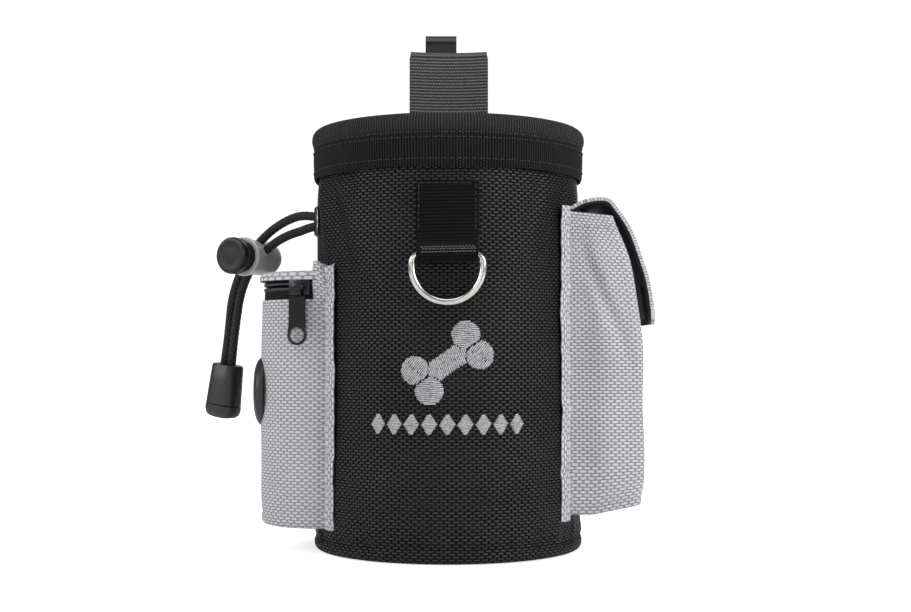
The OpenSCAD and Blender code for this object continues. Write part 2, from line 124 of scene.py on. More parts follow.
def smooth_path(points, count, closed=False):
    """Evenly spaced points on a Catmull-Rom curve through points."""
    p = np.asarray(points, float)
    if closed:
        ext = np.vstack([p[-1], p, p[0], p[1]])
        spans = len(p)
    else:
        ext = np.vstack([2 * p[0] - p[1], p, 2 * p[-1] - p[-2]])
        spans = len(p) - 1
    out = []
    for i in range(spans):
        a, b, c, d = ext[i:i + 4]
        for t in np.linspace(0, 1, 16, endpoint=False):
            square, cube = (2 * a - 5 * b + 4 * c - d) * t ** 2, (3 * b - a - 3 * c + d) * t ** 3
            out.append(0.5 * (2 * b + (c - a) * t + square + cube))
    out.append(p[0] if closed else p[-1])
    return resample(np.array(out), count + (1 if closed else 0))[:count]


def resample(path, count):
    """The same line with evenly spaced points."""
    s = arc_lengths(path)
    t = np.linspace(0, s[-1], count)
    return np.stack([np.interp(t, s, path[:, k]) for k in range(path.shape[1])], 1)


def quads(nu, nv, wrap_u=False, wrap_v=False, base=0):
    """Faces of a grid and the grid indices of their corners."""
    i, j = np.meshgrid(np.arange(nu if wrap_u else nu - 1), np.arange(nv if wrap_v else nv - 1),
            indexing="ij")
    i2, j2 = (i + 1) % nu, (j + 1) % nv
    q = np.stack([i * nv + j, i2 * nv + j, i2 * nv + j2, i * nv + j2], -1).reshape(-1, 4) + base
    cu = np.stack([i, i + 1, i + 1, i], -1).reshape(-1, 4)
    cv = np.stack([j, j, j + 1, j + 1], -1).reshape(-1, 4)
    return q, cu, cv


def grid_normals(p, wrap_u):
    if wrap_u:
        du = np.roll(p, -1, 0) - np.roll(p, 1, 0)
    else:
        du = np.gradient(p, axis=0)
    dv = np.gradient(p, axis=1)
    n = np.cross(du, dv)
    return n / np.maximum(np.linalg.norm(n, axis=2, keepdims=True), 1e-9)


def metric(p, wrap_u):
    """Cloth coordinates of a grid: mean length along each direction."""
    pu = np.concatenate([p, p[:1]]) if wrap_u else p
    u = np.concatenate([[0], np.cumsum(np.linalg.norm(np.diff(pu, axis=0), axis=2).mean(1))])
    v = np.concatenate([[0], np.cumsum(np.linalg.norm(np.diff(p, axis=1), axis=2).mean(0))])
    return u, v


def shell(name, p, thick, wrap_u=False, sharp=50):
    """A closed sheet of cloth: p is the outer face as a grid, the inner face lies thick behind it."""
    nu, nv = p.shape[:2]
    n = grid_normals(p, wrap_u)
    inner = p - n * thick
    verts = np.concatenate([p.reshape(-1, 3), inner.reshape(-1, 3)])
    u, v = metric(p, wrap_u)
    q, cu, cv = quads(nu, nv, wrap_u)
    faces, us, vs = [q, q[:, ::-1] + nu * nv], [u[cu], u[cu[:, ::-1]]], [v[cv], v[cv[:, ::-1]]]

    def rim(a, b, ua, ub, va, vb):
        off = nu * nv
        faces.append(np.stack([a, b, b + off, a + off], -1))
        us.append(np.stack([ua, ub, ub, ua], -1))
        vs.append(np.stack([va, vb, vb, va], -1))

    iu = np.arange(nu if wrap_u else nu - 1)
    for j in (0, nv - 1):
        rim(iu * nv + j, ((iu + 1) % nu) * nv + j, u[iu], u[iu + 1], v[j] + 0 * iu, v[j] + 0 * iu)
    if not wrap_u:
        jv = np.arange(nv - 1)
        for i in (0, nu - 1):
            rim(i * nv + jv, i * nv + jv + 1, u[i] + 0.0 * jv, u[i] + 0.0 * jv, v[jv], v[jv + 1])
    faces = np.concatenate(faces)
    loop_uv = np.stack([np.concatenate(us), np.concatenate(vs)], -1)
    return add_mesh(name, verts, faces, loop_uv.reshape(-1, 2), sharp)


def ramp(x, start, span):
    """0 up to start, 1 from start + span on; a negative span runs the other way."""
    return np.clip((x - start) / span, 0, 1)


def offset_line(path, out):
    """A line in a (distance, height) plane moved sideways by out."""
    d = np.gradient(path, axis=0)
    d /= np.linalg.norm(d, axis=1, keepdims=True)
    return path + np.stack([-d[:, 1], d[:, 0]], 1) * out


def outward(path):
    """Level unit vectors pointing away from the tube's axis."""
    return path * [1, 1, 0] / np.linalg.norm(path[:, :2], axis=1)[:, None]


def frames_along(path, closed=False):
    """Two unit vectors across a path at each point, turned as little as possible."""
    if closed:
        t = np.roll(path, -1, 0) - np.roll(path, 1, 0)
    else:
        t = np.gradient(path, axis=0)
    t /= np.linalg.norm(t, axis=1, keepdims=True)
    a = np.cross(t[0], [0, 0, 1.0] if abs(t[0][2]) < 0.9 else [1.0, 0, 0])
    side = []
    for k in t:
        a = a - k * (a @ k)
        a = a / np.linalg.norm(a)
        side.append(a)
    side = np.array(side)
    return side, np.cross(t, side)


def tube_points(path, radius, sides, closed=False):
    """Points around a path; radius is a number, one per point, or a function of (length, angle)."""
    a, b = frames_along(path, closed)
    ang = np.linspace(0, 2 * math.pi, sides, endpoint=False)
    s = arc_lengths(path)
    if callable(radius):
        r = radius(s[:, None], ang[None, :])
    else:
        r = np.broadcast_to(np.asarray(radius, float).reshape(-1, 1), (len(path), sides))
    across = np.cos(ang)[None, :, None] * a[:, None] + np.sin(ang)[None, :, None] * b[:, None]
    return path[:, None] + r[..., None] * across, s


def tube_faces(points, s, closed, base, width):
    """Faces and cloth coordinates of a swept tube with closed ends."""
    n, k = points.shape[:2]
    q, cu, cv = quads(n, k, closed, True, base)
    length = s[-1] + (np.linalg.norm(points[0].mean(0) - points[-1].mean(0)) if closed else 0)
    su = np.append(s, length)
    faces = q.tolist()
    uv = np.stack([su[cu], cv * width / k], -1).reshape(-1, 2).tolist()
    if not closed:
        for end in (list(range(k))[::-1], [(n - 1) * k + i for i in range(k)]):
            faces.append([base + i for i in end])
            uv += [[0.0, 0.0]] * k
    return faces, uv


def tubes(name, paths, radius, sides=10, closed=False):
    """One mesh of swept round rods."""
    verts, faces, uv, base = [], [], [], 0
    for path in paths:
        pts, s = tube_points(np.asarray(path, float), radius, sides, closed)
        f, w = tube_faces(pts, s, closed, base, 2 * math.pi * CORD_R)
        verts.append(pts.reshape(-1, 3))
        faces += f
        uv += w
        base += pts.shape[0] * pts.shape[1]
    return add_mesh(name, np.concatenate(verts), faces, uv)


def thread_paths(path, normal, stitch, gap, lift, sink=0.18):
    """Short arched stitches along a path; normal gives the cloth's outward direction at each point."""
    s = arc_lengths(path)
    out = []
    t = 0.3
    while t + stitch < s[-1]:
        q = np.linspace(t, t + stitch, 7)
        pos = np.stack([np.interp(q, s, path[:, k]) for k in range(3)], 1)
        nor = np.stack([np.interp(q, s, normal[:, k]) for k in range(3)], 1)
        arch = np.sin(np.linspace(0, math.pi, 7)) ** 0.5 * (lift + sink) - sink
        out.append(pos + nor * arch[:, None])
        t += stitch + gap
    return out


def stitch_piece(name, runs, radius, body, mat):
    """All the stitches of one seam as one piece."""
    finish_piece(tubes(name, runs, radius, 6), body, mat)


def dress_node(name, mat):
    """Gives a CAD node that stays visible its procedural material."""
    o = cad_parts[name]
    o.data.materials.clear()
    o.data.materials.append(mat)
    return o


def lathe(name, profile, sides, frame_fn, sharp=35):
    """Turns a (radius, along) profile about an axis; frame_fn maps (x, along, z) points to the row frame."""
    prof = np.asarray(profile, float)
    ang = np.linspace(0, 2 * math.pi, sides, endpoint=False)
    ring = np.stack([np.cos(ang), np.sin(ang)], 1)
    closed = prof[0][0] > 1e-6
    pts = np.stack([prof[None, :, 0] * ring[:, :1], np.broadcast_to(prof[None, :, 1], (sides, len(prof))),
            prof[None, :, 0] * ring[:, 1:]], -1)
    q, cu, cv = quads(sides, len(prof), True, closed)
    verts = pts.reshape(-1, 3)
    loop_uv = np.stack([cu * 2 * math.pi * 5 / sides, cv * 1.0], -1).reshape(-1, 2)
    o = add_mesh(name, frame_fn(verts), q, loop_uv)
    bm = bmesh.new()
    bm.from_mesh(o.data)
    bmesh.ops.remove_doubles(bm, verts=bm.verts, dist=1e-7)
    bmesh.ops.dissolve_degenerate(bm, edges=bm.edges, dist=1e-8)
    bmesh.ops.recalc_face_normals(bm, faces=bm.faces)
    bm.to_mesh(o.data)
    bm.free()
    o.data.polygons.foreach_set("use_smooth", [True] * len(o.data.polygons))
    o.data.set_sharp_from_angle(angle=math.radians(sharp))
    return o


def blocks(name, boxes, frame_fn, bevel):
    """One mesh of bevelled boxes, each given by its centre and its size."""
    bm = bmesh.new()
    for centre, size in boxes:
        made = bmesh.ops.create_cube(bm, size=1)["verts"]
        for v in made:
            v.co = Vector([c + s * x for c, s, x in zip(centre, size, v.co)])
    bmesh.ops.recalc_face_normals(bm, faces=bm.faces)
    edges = [e for e in bm.edges if e.is_manifold and e.calc_face_angle() > math.radians(35)]
    bmesh.ops.bevel(bm, geom=edges, offset=bevel, segments=2, affect="EDGES", profile=0.6, clamp_overlap=True)
    verts = np.array([v.co for v in bm.verts])
    bm.verts.index_update()
    faces = [[v.index for v in f.verts] for f in bm.faces]
    bm.free()
    return add_mesh(name, frame_fn(verts), faces, None, 40)


def relax(p, pinned, pressure, grow, cap, frames=16):
    """Lets a cloth grid settle with a little slack and inner pressure; pinned points stay where they are."""
    scale = 10 * MM
    nu, nv = p.shape[:2]
    me = bpy.data.meshes.new("cloth_work")
    me.from_pydata((p.reshape(-1, 3) * scale).tolist(), [], quads(nu, nv)[0].tolist())
    o = bpy.data.objects.new("cloth_work", me)
    bpy.context.scene.collection.objects.link(o)
    group = o.vertex_groups.new(name="pin")
    group.add(np.flatnonzero(pinned.ravel()).tolist(), 1.0, "REPLACE")
    mod = o.modifiers.new("cloth", "CLOTH")
    cloth = mod.settings
    cloth.vertex_group_mass = "pin"
    cloth.quality, cloth.mass = 6, 0.3
    cloth.tension_stiffness = cloth.compression_stiffness = 12
    cloth.shear_stiffness, cloth.bending_stiffness = 4, 0.4
    cloth.shrink_min = -grow
    cloth.use_pressure, cloth.uniform_pressure_force = True, pressure
    cloth.effector_weights.gravity = 0
    mod.point_cache.frame_start, mod.point_cache.frame_end = 1, frames
    scene = bpy.context.scene
    for f in range(1, frames + 1):
        scene.frame_set(f)
    ev = o.evaluated_get(bpy.context.evaluated_depsgraph_get()).to_mesh()
    co = np.empty(nu * nv * 3)
    ev.vertices.foreach_get("co", co)
    bpy.data.objects.remove(o)
    scene.frame_set(1)
    move = co.reshape(p.shape) / scale - p
    size = np.linalg.norm(move, axis=2, keepdims=True)
    return p + move * np.minimum(1, cap / np.maximum(size, 1e-6))


def cloth_piece(name, grid, thick, mat, replaces=(), wrap_u=False):
    """A sheet of cloth sewn to the pouch."""
    finish_piece(shell(name, grid, thick, wrap_u), "pouch", mat, replaces)


# ---- frames of the moving hardware ----

def turn_z(p, a):
    p = np.asarray(p, float)
    c, s = math.cos(a), math.sin(a)
    return np.stack([p[..., 0] * c - p[..., 1] * s, p[..., 0] * s + p[..., 1] * c, p[..., 2]], -1)


def at_eyelet(p):
    return turn_z(np.asarray(p, float) + [0, 0, CORD_Z], EYELET_TURN)


def at_cord(p):
    start = turn_z([-CORD_START, 0, CORD_Z], EYELET_TURN)
    return turn_z(p, -CORD_TURN) + start


def on_arc(p, angle):
    """Local -X runs along the cords, +Z away from the arc's centre, Y along the cord lock."""
    p = np.asarray(p, float) + [0, 0, ARC_R]
    c, s = math.cos(angle), math.sin(angle)
    q = np.stack([p[..., 0] * c - p[..., 2] * s, p[..., 1], p[..., 0] * s + p[..., 2] * c], -1)
    return at_cord(q - [0, 0, ARC_R])


def at_slider(p):
    return turn_z(p, -SLIDER_AT) + [POCKET_X, 0, ZIP_Z]


def round_tube(p):
    """Lays (x, radius, z) points on the front of the tube: x is the distance round it."""
    a = p[..., 0] / TUBE_R
    return np.stack([p[..., 1] * np.sin(a), -p[..., 1] * np.cos(a), p[..., 2]], -1)


# ---- materials ----

class Field:
    """A shader value for plain arithmetic: every operation adds one math node."""

    def __init__(self, nt, socket):
        self.nt, self.socket = nt, socket

    def op(self, kind, *values):
        ins = {i: getattr(v, "socket", v) for i, v in enumerate(values)}
        return Field(self.nt, add_node(self.nt, "ShaderNodeMath", ins, operation=kind).outputs[0])

    def __add__(self, other):
        return self.op("ADD", self, other)

    def __sub__(self, other):
        return self.op("SUBTRACT", self, other)

    def __rsub__(self, other):
        return self.op("SUBTRACT", other, self)

    def __mul__(self, other):
        return self.op("MULTIPLY", self, other)

    def __truediv__(self, other):
        return self.op("DIVIDE", self, other)

    def __mod__(self, other):
        return self.op("FLOORED_MODULO", self, other)

    def __pow__(self, other):
        return self.op("POWER", self, other)

    def __abs__(self):
        return self.op("ABSOLUTE", self)

    def sine(self):
        return self.op("SINE", self)

    def floor(self):
        return self.op("FLOOR", self)

    def fract(self):
        return self.op("FRACT", self)

    def at_least(self, other):
        return self.op("MAXIMUM", self, other)

    def at_most(self, other):
        return self.op("MINIMUM", self, other)


def new_material(name):
    m = bpy.data.materials.new(name)
    m.use_nodes = True
    return m, m.node_tree, m.node_tree.nodes["Principled BSDF"]


def add_node(nt, kind, inputs=None, **attrs):
    n = nt.nodes.new(kind)
    for k, v in attrs.items():
        setattr(n, k, v)
    for k, v in (inputs or {}).items():
        if isinstance(v, bpy.types.NodeSocket):
            nt.links.new(v, n.inputs[k])
        else:
            n.inputs[k].default_value = v
    return n


def drive(bsdf, **values):
    """Sets shader inputs from fields, sockets or numbers; underscores in names stand for spaces."""
    for key, value in values.items():
        socket = bsdf.inputs[key.replace("_", " ")]
        value = getattr(value, "socket", value)
        if isinstance(value, bpy.types.NodeSocket):
            bsdf.id_data.links.new(value, socket)
        else:
            socket.default_value = value


def blend_tones(nt, tone, colour, low, high):
    """Colour between low and high multiples of the base colour; the tone may pass 1."""
    n = add_node(nt, "ShaderNodeMix", data_type="RGBA", clamp_factor=False)
    ins = {s.name: s for s in n.inputs if s.enabled}
    nt.links.new(tone.socket, ins["Factor"])
    ins["A"].default_value, ins["B"].default_value = rgb(colour, low), rgb(colour, high)
    return [s for s in n.outputs if s.type == "RGBA"][0]


def object_place(nt):
    return add_node(nt, "ShaderNodeTexCoord").outputs["Object"]


def cloth_uv(nt):
    """The cloth coordinates as a vector socket and as two fields, in mm."""
    uv = add_node(nt, "ShaderNodeUVMap", uv_map="cloth")
    sep = add_node(nt, "ShaderNodeSeparateXYZ", {0: uv.outputs[0]})
    return uv.outputs[0], Field(nt, sep.outputs[0]), Field(nt, sep.outputs[1])


def noise(nt, scale, detail, vector=None):
    ins = {"Vector": vector or object_place(nt), "Scale": scale, "Detail": detail}
    return Field(nt, add_node(nt, "ShaderNodeTexNoise", ins).outputs["Fac"])


def bump(nt, bsdf, height, distance):
    """Relief of the given distance in mm."""
    ins = {"Height": height.socket, "Distance": distance * MM, "Strength": 1.0}
    drive(bsdf, Normal=add_node(nt, "ShaderNodeBump", ins).outputs[0])


def rgb(c, k):
    return (c[0] * k, c[1] * k, c[2] * k, 1.0)


def woven(name, colour, pill, depth=0.22, dark=0.35, rough=0.75, sheen=0.1, spec=0.15, painted_fold_shade=0.35):
    """Plain weave: rows of raised yarn floats of size pill, each row shifted by half a float; the last
    argument sets broad light and dark patches, painted shade of soft folds.
    """
    m, nt, bsdf = new_material(name)
    uv, u, v = cloth_uv(nt)
    wobble = (noise(nt, 0.3, 2.0, uv) - 0.5) * 0.3
    row = v / pill[1] + wobble
    col = u / pill[0] + row.floor() % 2.0 * 0.5 + wobble
    end, edge = abs(col.fract() - 0.5) * 2.0, abs(row.fract() - 0.5) * 2.0
    along = (1.0 - (end / 0.80) ** 4.0).at_least(0.0)
    across = (1.0 - (edge / 0.94) ** 3.0).at_least(0.0)
    warp = (end * 2.2 - 1.3).at_least(0.0) * (across * 0.5)
    h = ((along * across) ** 0.5).at_least(warp)
    strands = add_node(nt, "ShaderNodeMapping", {"Vector": uv, "Scale": (0.8, 5.0, 1.0)}).outputs[0]
    fibre = noise(nt, 1.6, 4.0, strands)
    # painted shade: broad random patches about 20 mm across lighten and darken the cloth, standing in for the
    # shading of soft folds
    patch = noise(nt, 0.05, 2.0, uv) - 0.5
    tone = h * (fibre * 0.7 + patch * painted_fold_shade + 0.62)
    drive(bsdf, Base_Color=blend_tones(nt, tone, colour, dark, 1.15), Roughness=rough,
          Specular_IOR_Level=h ** 2.0 * spec, Sheen_Weight=sheen, Sheen_Roughness=0.5)
    bump(nt, bsdf, h + fibre * 0.3, depth)
    return m


def ribbed(name, colour, pitch, along_u, depth=0.2, rough=0.6, cross=0.7, dark=0.2, spec=0.15, power=0.6,
        roll=0.0):
    """Webbing: ribs at a pitch with a fine weave across; roll lightens the top of the rim as a painted
    highlight of the light falling on it from above.
    """
    m, nt, bsdf = new_material(name)
    uv, u, v = cloth_uv(nt)
    a, b = (u, v) if along_u else (v, u)
    fibre = noise(nt, 1.6, 4.0, uv)
    row = a / pitch + fibre * 0.22
    rib = abs((row * math.pi).sine()) ** power
    fine = abs(((b / cross + row.floor() * 0.5) * math.pi).sine())
    h = rib * 0.7 + fine * 0.3
    tone = h * (fibre * 0.6 + 0.7)
    # painted highlight: the tape grows up to 1 + roll times lighter over 2 mm above ROLL_FROM, standing in
    # for top light on the roll
    if roll:
        place = add_node(nt, "ShaderNodeSeparateXYZ", {0: object_place(nt)})
        painted_top_light = ((Field(nt, place.outputs[2]) - ROLL_FROM * MM) / (2.0 * MM)).at_least(0.0).at_most(1.0)
        tone = tone * (painted_top_light * roll + 1.0)
    drive(bsdf, Base_Color=blend_tones(nt, tone, colour, dark, 1.15), Roughness=rough,
          Specular_IOR_Level=h ** 2.0 * spec, Sheen_Weight=0.02)
    bump(nt, bsdf, h, depth)
    return m


def braid(name, colour):
    """Round braid: two sets of strands crossing over the cord."""
    m, nt, bsdf = new_material(name)
    u, v = cloth_uv(nt)[1:]
    lengthways, around = u * BRAID_PITCH, v * (BRAID_STRANDS / CORD_R)
    h = ((lengthways + around).sine().at_least((lengthways - around).sine()) + 1.0) * 0.5
    drive(bsdf, Base_Color=blend_tones(nt, h, colour, 0.35, 1.3), Roughness=0.6,
          Specular_IOR_Level=0.2, Sheen_Weight=0.05)
    bump(nt, bsdf, h, 0.12)
    return m


def thread_material(name, colour, rough=0.38, sheen=0.2):
    m, nt, bsdf = new_material(name)
    u, v = cloth_uv(nt)[1:]
    twist = (u * 9.0 + v * 2.0).sine()
    soft = noise(nt, 1400, 1.0) - 0.5
    tone = twist * 0.15 + (soft * 1.8 + 0.5)
    drive(bsdf, Base_Color=blend_tones(nt, tone, colour, 0.55, 1.3), Roughness=rough, Sheen_Weight=sheen)
    bump(nt, bsdf, twist, 0.04)
    return m


def plastic(name, colour, rough=0.4, grain=0.02, spec=0.5):
    m, nt, bsdf = new_material(name)
    wide = noise(nt, 260, 3.0)
    drive(bsdf, Base_Color=blend_tones(nt, wide, colour, 0.85, 1.15), Roughness=wide * 0.12 + (rough - 0.06),
          Specular_IOR_Level=spec)
    bump(nt, bsdf, noise(nt, 9000, 3.0), grain)
    return m


def metal(name, colour, rough, scratch=0.012, metallic=1.0):
    """Metal with fine scratches that run along the height."""
    m, nt, bsdf = new_material(name)
    drawn = add_node(nt, "ShaderNodeMapping", {"Vector": object_place(nt), "Scale": (6.0, 6.0, 0.5)})
    lines = noise(nt, 900, 4.0, drawn.outputs[0])
    wide = noise(nt, 180, 3.0)
    drive(bsdf, Base_Color=blend_tones(nt, wide, colour, 0.9, 1.05), Roughness=lines * 0.14 + rough,
          Metallic=metallic)
    bump(nt, bsdf, lines, scratch)
    return m


def fuzzy(name, colour):
    """Hook and loop tape: a dense, irregular pile."""
    m, nt, bsdf = new_material(name)
    pile = add_node(nt, "ShaderNodeTexVoronoi", {"Vector": object_place(nt), "Scale": 1500.0})
    h = Field(nt, pile.outputs["Distance"])
    drive(bsdf, Base_Color=blend_tones(nt, h, colour, 0.4, 1.6), Roughness=0.85, Sheen_Weight=0.4)
    bump(nt, bsdf, h, 0.3)
    return m


def grey(level, blue=0.0):
    """A neutral colour with a little extra blue."""
    return (level, level, level + blue)


# the black body cloth gets strong painted fold shade (last argument 1.1)
mat_black = woven("black_oxford", grey(0.0125, 0.0015), (2.55, 0.92), 0.30, 0.08, 0.42, 0.0, 0.36, 1.1)
mat_grey = woven("grey_oxford", grey(0.50, 0.03), (2.35, 0.97), 0.22, 0.30, sheen=0.05)
mat_lining = woven("black_lining", grey(0.018, 0.002), (0.5, 0.25), 0.03, 0.6, 0.5, 0.03, 0.3)
# roll=1.9 paints the top of the rim up to 2.9 times lighter: painted highlight
mat_rim = ribbed("rim_tape", grey(0.010, 0.001), 0.9, True, 0.3, cross=1.0, dark=0.03, spec=0.14, power=1.1,
        roll=1.9)
# painted light: the belt loop's black webbing is a lit copy, far lighter than tab_webbing, for the light
# falling on the loop
mat_web_painted_light = ribbed("black_webbing", grey(0.125, 0.005), 1.15, False, 0.35, cross=1.1, dark=0.02, power=2.4)
mat_tab = ribbed("tab_webbing", grey(0.0055, 0.0005), 1.05, False, 0.24, cross=0.9, dark=0.1, spec=0.07)
mat_tape = ribbed("zip_tape", grey(0.010, 0.001), 0.62, False, 0.12, cross=0.6)
mat_cord = braid("black_cord", grey(0.014, 0.001))
mat_thread = thread_material("grey_thread", (0.44, 0.445, 0.46))
mat_black_thread = thread_material("black_thread", grey(0.010, 0.001), 0.7, 0.1)
mat_worn_thread = thread_material("worn_thread", grey(0.075, 0.005), 0.7, 0.2)
mat_grey_thread = thread_material("pocket_thread", grey(0.42, 0.03), 0.6)
mat_plastic = plastic("black_plastic", grey(0.010, 0.001))
mat_clear = plastic("pale_plastic", grey(0.42, 0.01), 0.35)
mat_coil = plastic("zip_coil", grey(0.008, 0.001), 0.3)
mat_button = plastic("lock_plastic", grey(0.008, 0.001), 0.34, 0.012, 0.28)
mat_zip = plastic("zip_enamel", grey(0.007, 0.001), 0.24, 0.006, 0.4)
mat_board = plastic("board", grey(0.18, 0.01), 0.5)
mat_nickel = metal("nickel", (0.60, 0.585, 0.56), 0.13, 0.006)
mat_steel = metal("spring_steel", grey(0.45, 0.01), 0.28)
mat_dark = metal("dark_steel", grey(0.022, 0.002), 0.3, 0.01, 0.5)
mat_hook = fuzzy("hook_loop", grey(0.012, 0.001))


# ---- tube, base, rim ----

def wrinkle(a, z, seed, amount, waves=6, low=2, high=9):
    """Smooth random undulation over angle and height."""
    r = np.random.default_rng(seed)
    out = 0
    for _ in range(waves):
        size, count = r.normal(), int(r.integers(low, high))
        climb, shift = r.normal(0, 0.06), r.uniform(0, 6.28)
        out = out + size * np.sin(count * a + z * climb + shift)
    return out * amount / math.sqrt(waves)


def revolve(profile, sides, offset=None):
    """Grid of a profile of (radius, height) turned about Z; offset(angle, height) moves it outwards."""
    a = np.linspace(0, 2 * math.pi, sides, endpoint=False)[:, None]
    prof = np.asarray(profile, float)
    r, z = prof[None, :, 0] + 0 * a, prof[None, :, 1] + 0 * a
    if offset is not None:
        r = r + offset(a, z)
    return np.stack([r * np.cos(a), r * np.sin(a), z], -1)


def pucker(a, z):
    """Soft diagonal folds under the rim; a is the angle round the tube, -90 degrees is the front."""
    out = 0.0
    for at, slope, width, height, reach in PUCKERS:
        off = np.degrees(np.angle(np.exp(1j * (a - math.radians(at)))))
        drop = RIM_EDGE - z
        across = np.exp(-((off - slope * drop) / width) ** 2)
        out = out + height * across * ramp(drop, 0, 6) * np.exp(-(drop / reach) ** 2)
    return out * FOLD_DEPTH


def ridges(a, z):
    """Low slanting folds where the cloth has been creased."""
    out = 0.0
    for at, height, tilt, length, width, rise in RIDGES:
        dx = np.angle(np.exp(1j * (a - math.radians(at)))) * TUBE_R
        dz = z - height
        c, s = math.cos(math.radians(tilt)), math.sin(math.radians(tilt))
        out = out + rise * np.exp(-((dx * c + dz * s) / length) ** 2 - ((dz * c - dx * s) / width) ** 2)
    return out


def embroidery_calm(a, z):
    """0 under the embroidery, where the cloth is held flat, and 1 away from it."""
    across = np.abs(np.angle(np.exp(1j * (a + math.pi / 2)))) * TUBE_R
    return np.clip(np.maximum((across - 22) / 8, np.abs(z - 57) / 7 - 3.0), 0.25, 1)


def make_tube():
    foot = [(40.8, 1.4), (41.8, 0.35), (42.9, 0.05), (43.9, 0.3), (44.6, 1.2), (44.85, 2.4), (44.6, 3.6),
            (44.1, 4.3), (44.15, 5.1), (44.45, 6.5)]
    wall = [(44.4, 10), (44.1, 18), (44.0, 40), (43.95, 80), (44.1, 106), (44.2, 116), (43.9, 122),
            (43.7, 133)]
    prof = np.vstack([smooth_path(foot, 26), smooth_path([foot[-1]] + wall, 110)[1:]])

    def offset(a, z):
        near_foot = np.exp(-((z - 6) / 4.0) ** 2) * (z > 3)
        crumple = 0.34 * np.sin(23 * a + 2 * np.sin(3 * a)) + 0.2 * np.sin(47 * a + 1.3)
        folds = wrinkle(a, z, 3, 0.34) + pucker(a, z) + ridges(a, z)
        return near_foot * crumple + folds * ramp(z, 4, 20) * embroidery_calm(a, z)

    cloth_piece("tube_fabric", revolve(prof, 360, offset), 1.1, mat_black, ["outer_shell"],
            True)
    disc = np.stack([np.linspace(0.4, 41.2, 40), 1.2 + 0.5 * np.cos(np.linspace(0, math.pi / 2, 40))], 1)
    cloth_piece("base_fabric", revolve(disc[::-1], 200), 1.0, mat_black, ["base_panel"], True)


def rim_profile():
    outer = [(44.95, 122.6), (45.3, 124), (45.5, 128), (45.5, 131.6), (45.25, 133.2), (45.7, 134.4),
            (46.05, 136.0), (45.7, 138.0), (44.5, 139.3), (42.9, 139.7), (41.3, 139.1), (40.3, 137.8),
            (39.95, 136.0), (40.2, 133.8), (40.3, 131), (40.35, 128.4)]
    return smooth_path(outer, 72)


def make_rim():
    prof = rim_profile()

    def offset(a, z):
        edge = np.exp(-((z - 122.4) / 2.5) ** 2)
        return wrinkle(a, z, 11, 0.12) + edge * wrinkle(a, z, 12, 0.22, high=14)

    grid = revolve(prof, 320, offset)
    a = np.linspace(0, 2 * math.pi, 320, endpoint=False)
    z = grid[:, :, 2]
    z += wrinkle(a[:, None], 0 * z, 13, 0.22) * ramp(z, 133, -10)
    cloth_piece("rim_band", grid, 0.7, mat_rim, ["rim_binding"], True)
    runs = []
    for r, z in ((45.5, 131.8), (45.3, 133.4), (45.35, 125.2)):
        path = revolve([(r, z), (r, z)], 400, lambda a, h: wrinkle(a, h, 11, 0.12))[:, 0]
        runs += thread_paths(path, outward(path), 1.7, 0.6, 0.14)
    stitch_piece("rim_stitches", runs, 0.14, "pouch", mat_black_thread)


def make_inside():
    floor = [(0.5, 3.1), (20, 3.1), (38, 3.1), (40.8, 3.4), (41.9, 4.6), (42.15, 7)]
    wall = [(42.15, 7), (42.1, 60), (42.1, 100), (42.1, 131.5)]
    prof = np.vstack([smooth_path(floor, 30), smooth_path(wall, 44)[1:]])
    grid = revolve(prof, 200, lambda a, z: (wrinkle(a, z, 21, 0.14) - 0.25) * ramp(z, 4, 12))
    cloth_piece("lining_cloth", grid, 0.5, mat_lining, ["lining"], True)
    sleeve = smooth_path([(41.2, 104.6), (38.5, 104.7), (37.2, 106), (37.3, 109), (37.35, 112),
            (38.2, 113.6), (37.6, 116), (37.9, 121), (38.9, 126.5), (39.6, 130.6)], 54)

    def gather(a, z):
        body = ramp(z, 105, 3) * ramp(z, 131, -4)
        pleat = 0.34 * np.sin(46 * a + 1.5 * np.sin(5 * a)) + 0.22 * np.sin(67 * a + 2 * np.sin(3 * a))
        return body * (pleat + wrinkle(a, z, 23, 0.18, high=16))

    cloth_piece("collar_cloth", revolve(sleeve, 480, gather), 0.45, mat_lining,
            ["drawstring_collar"], True)


# ---- front tab and ring ----

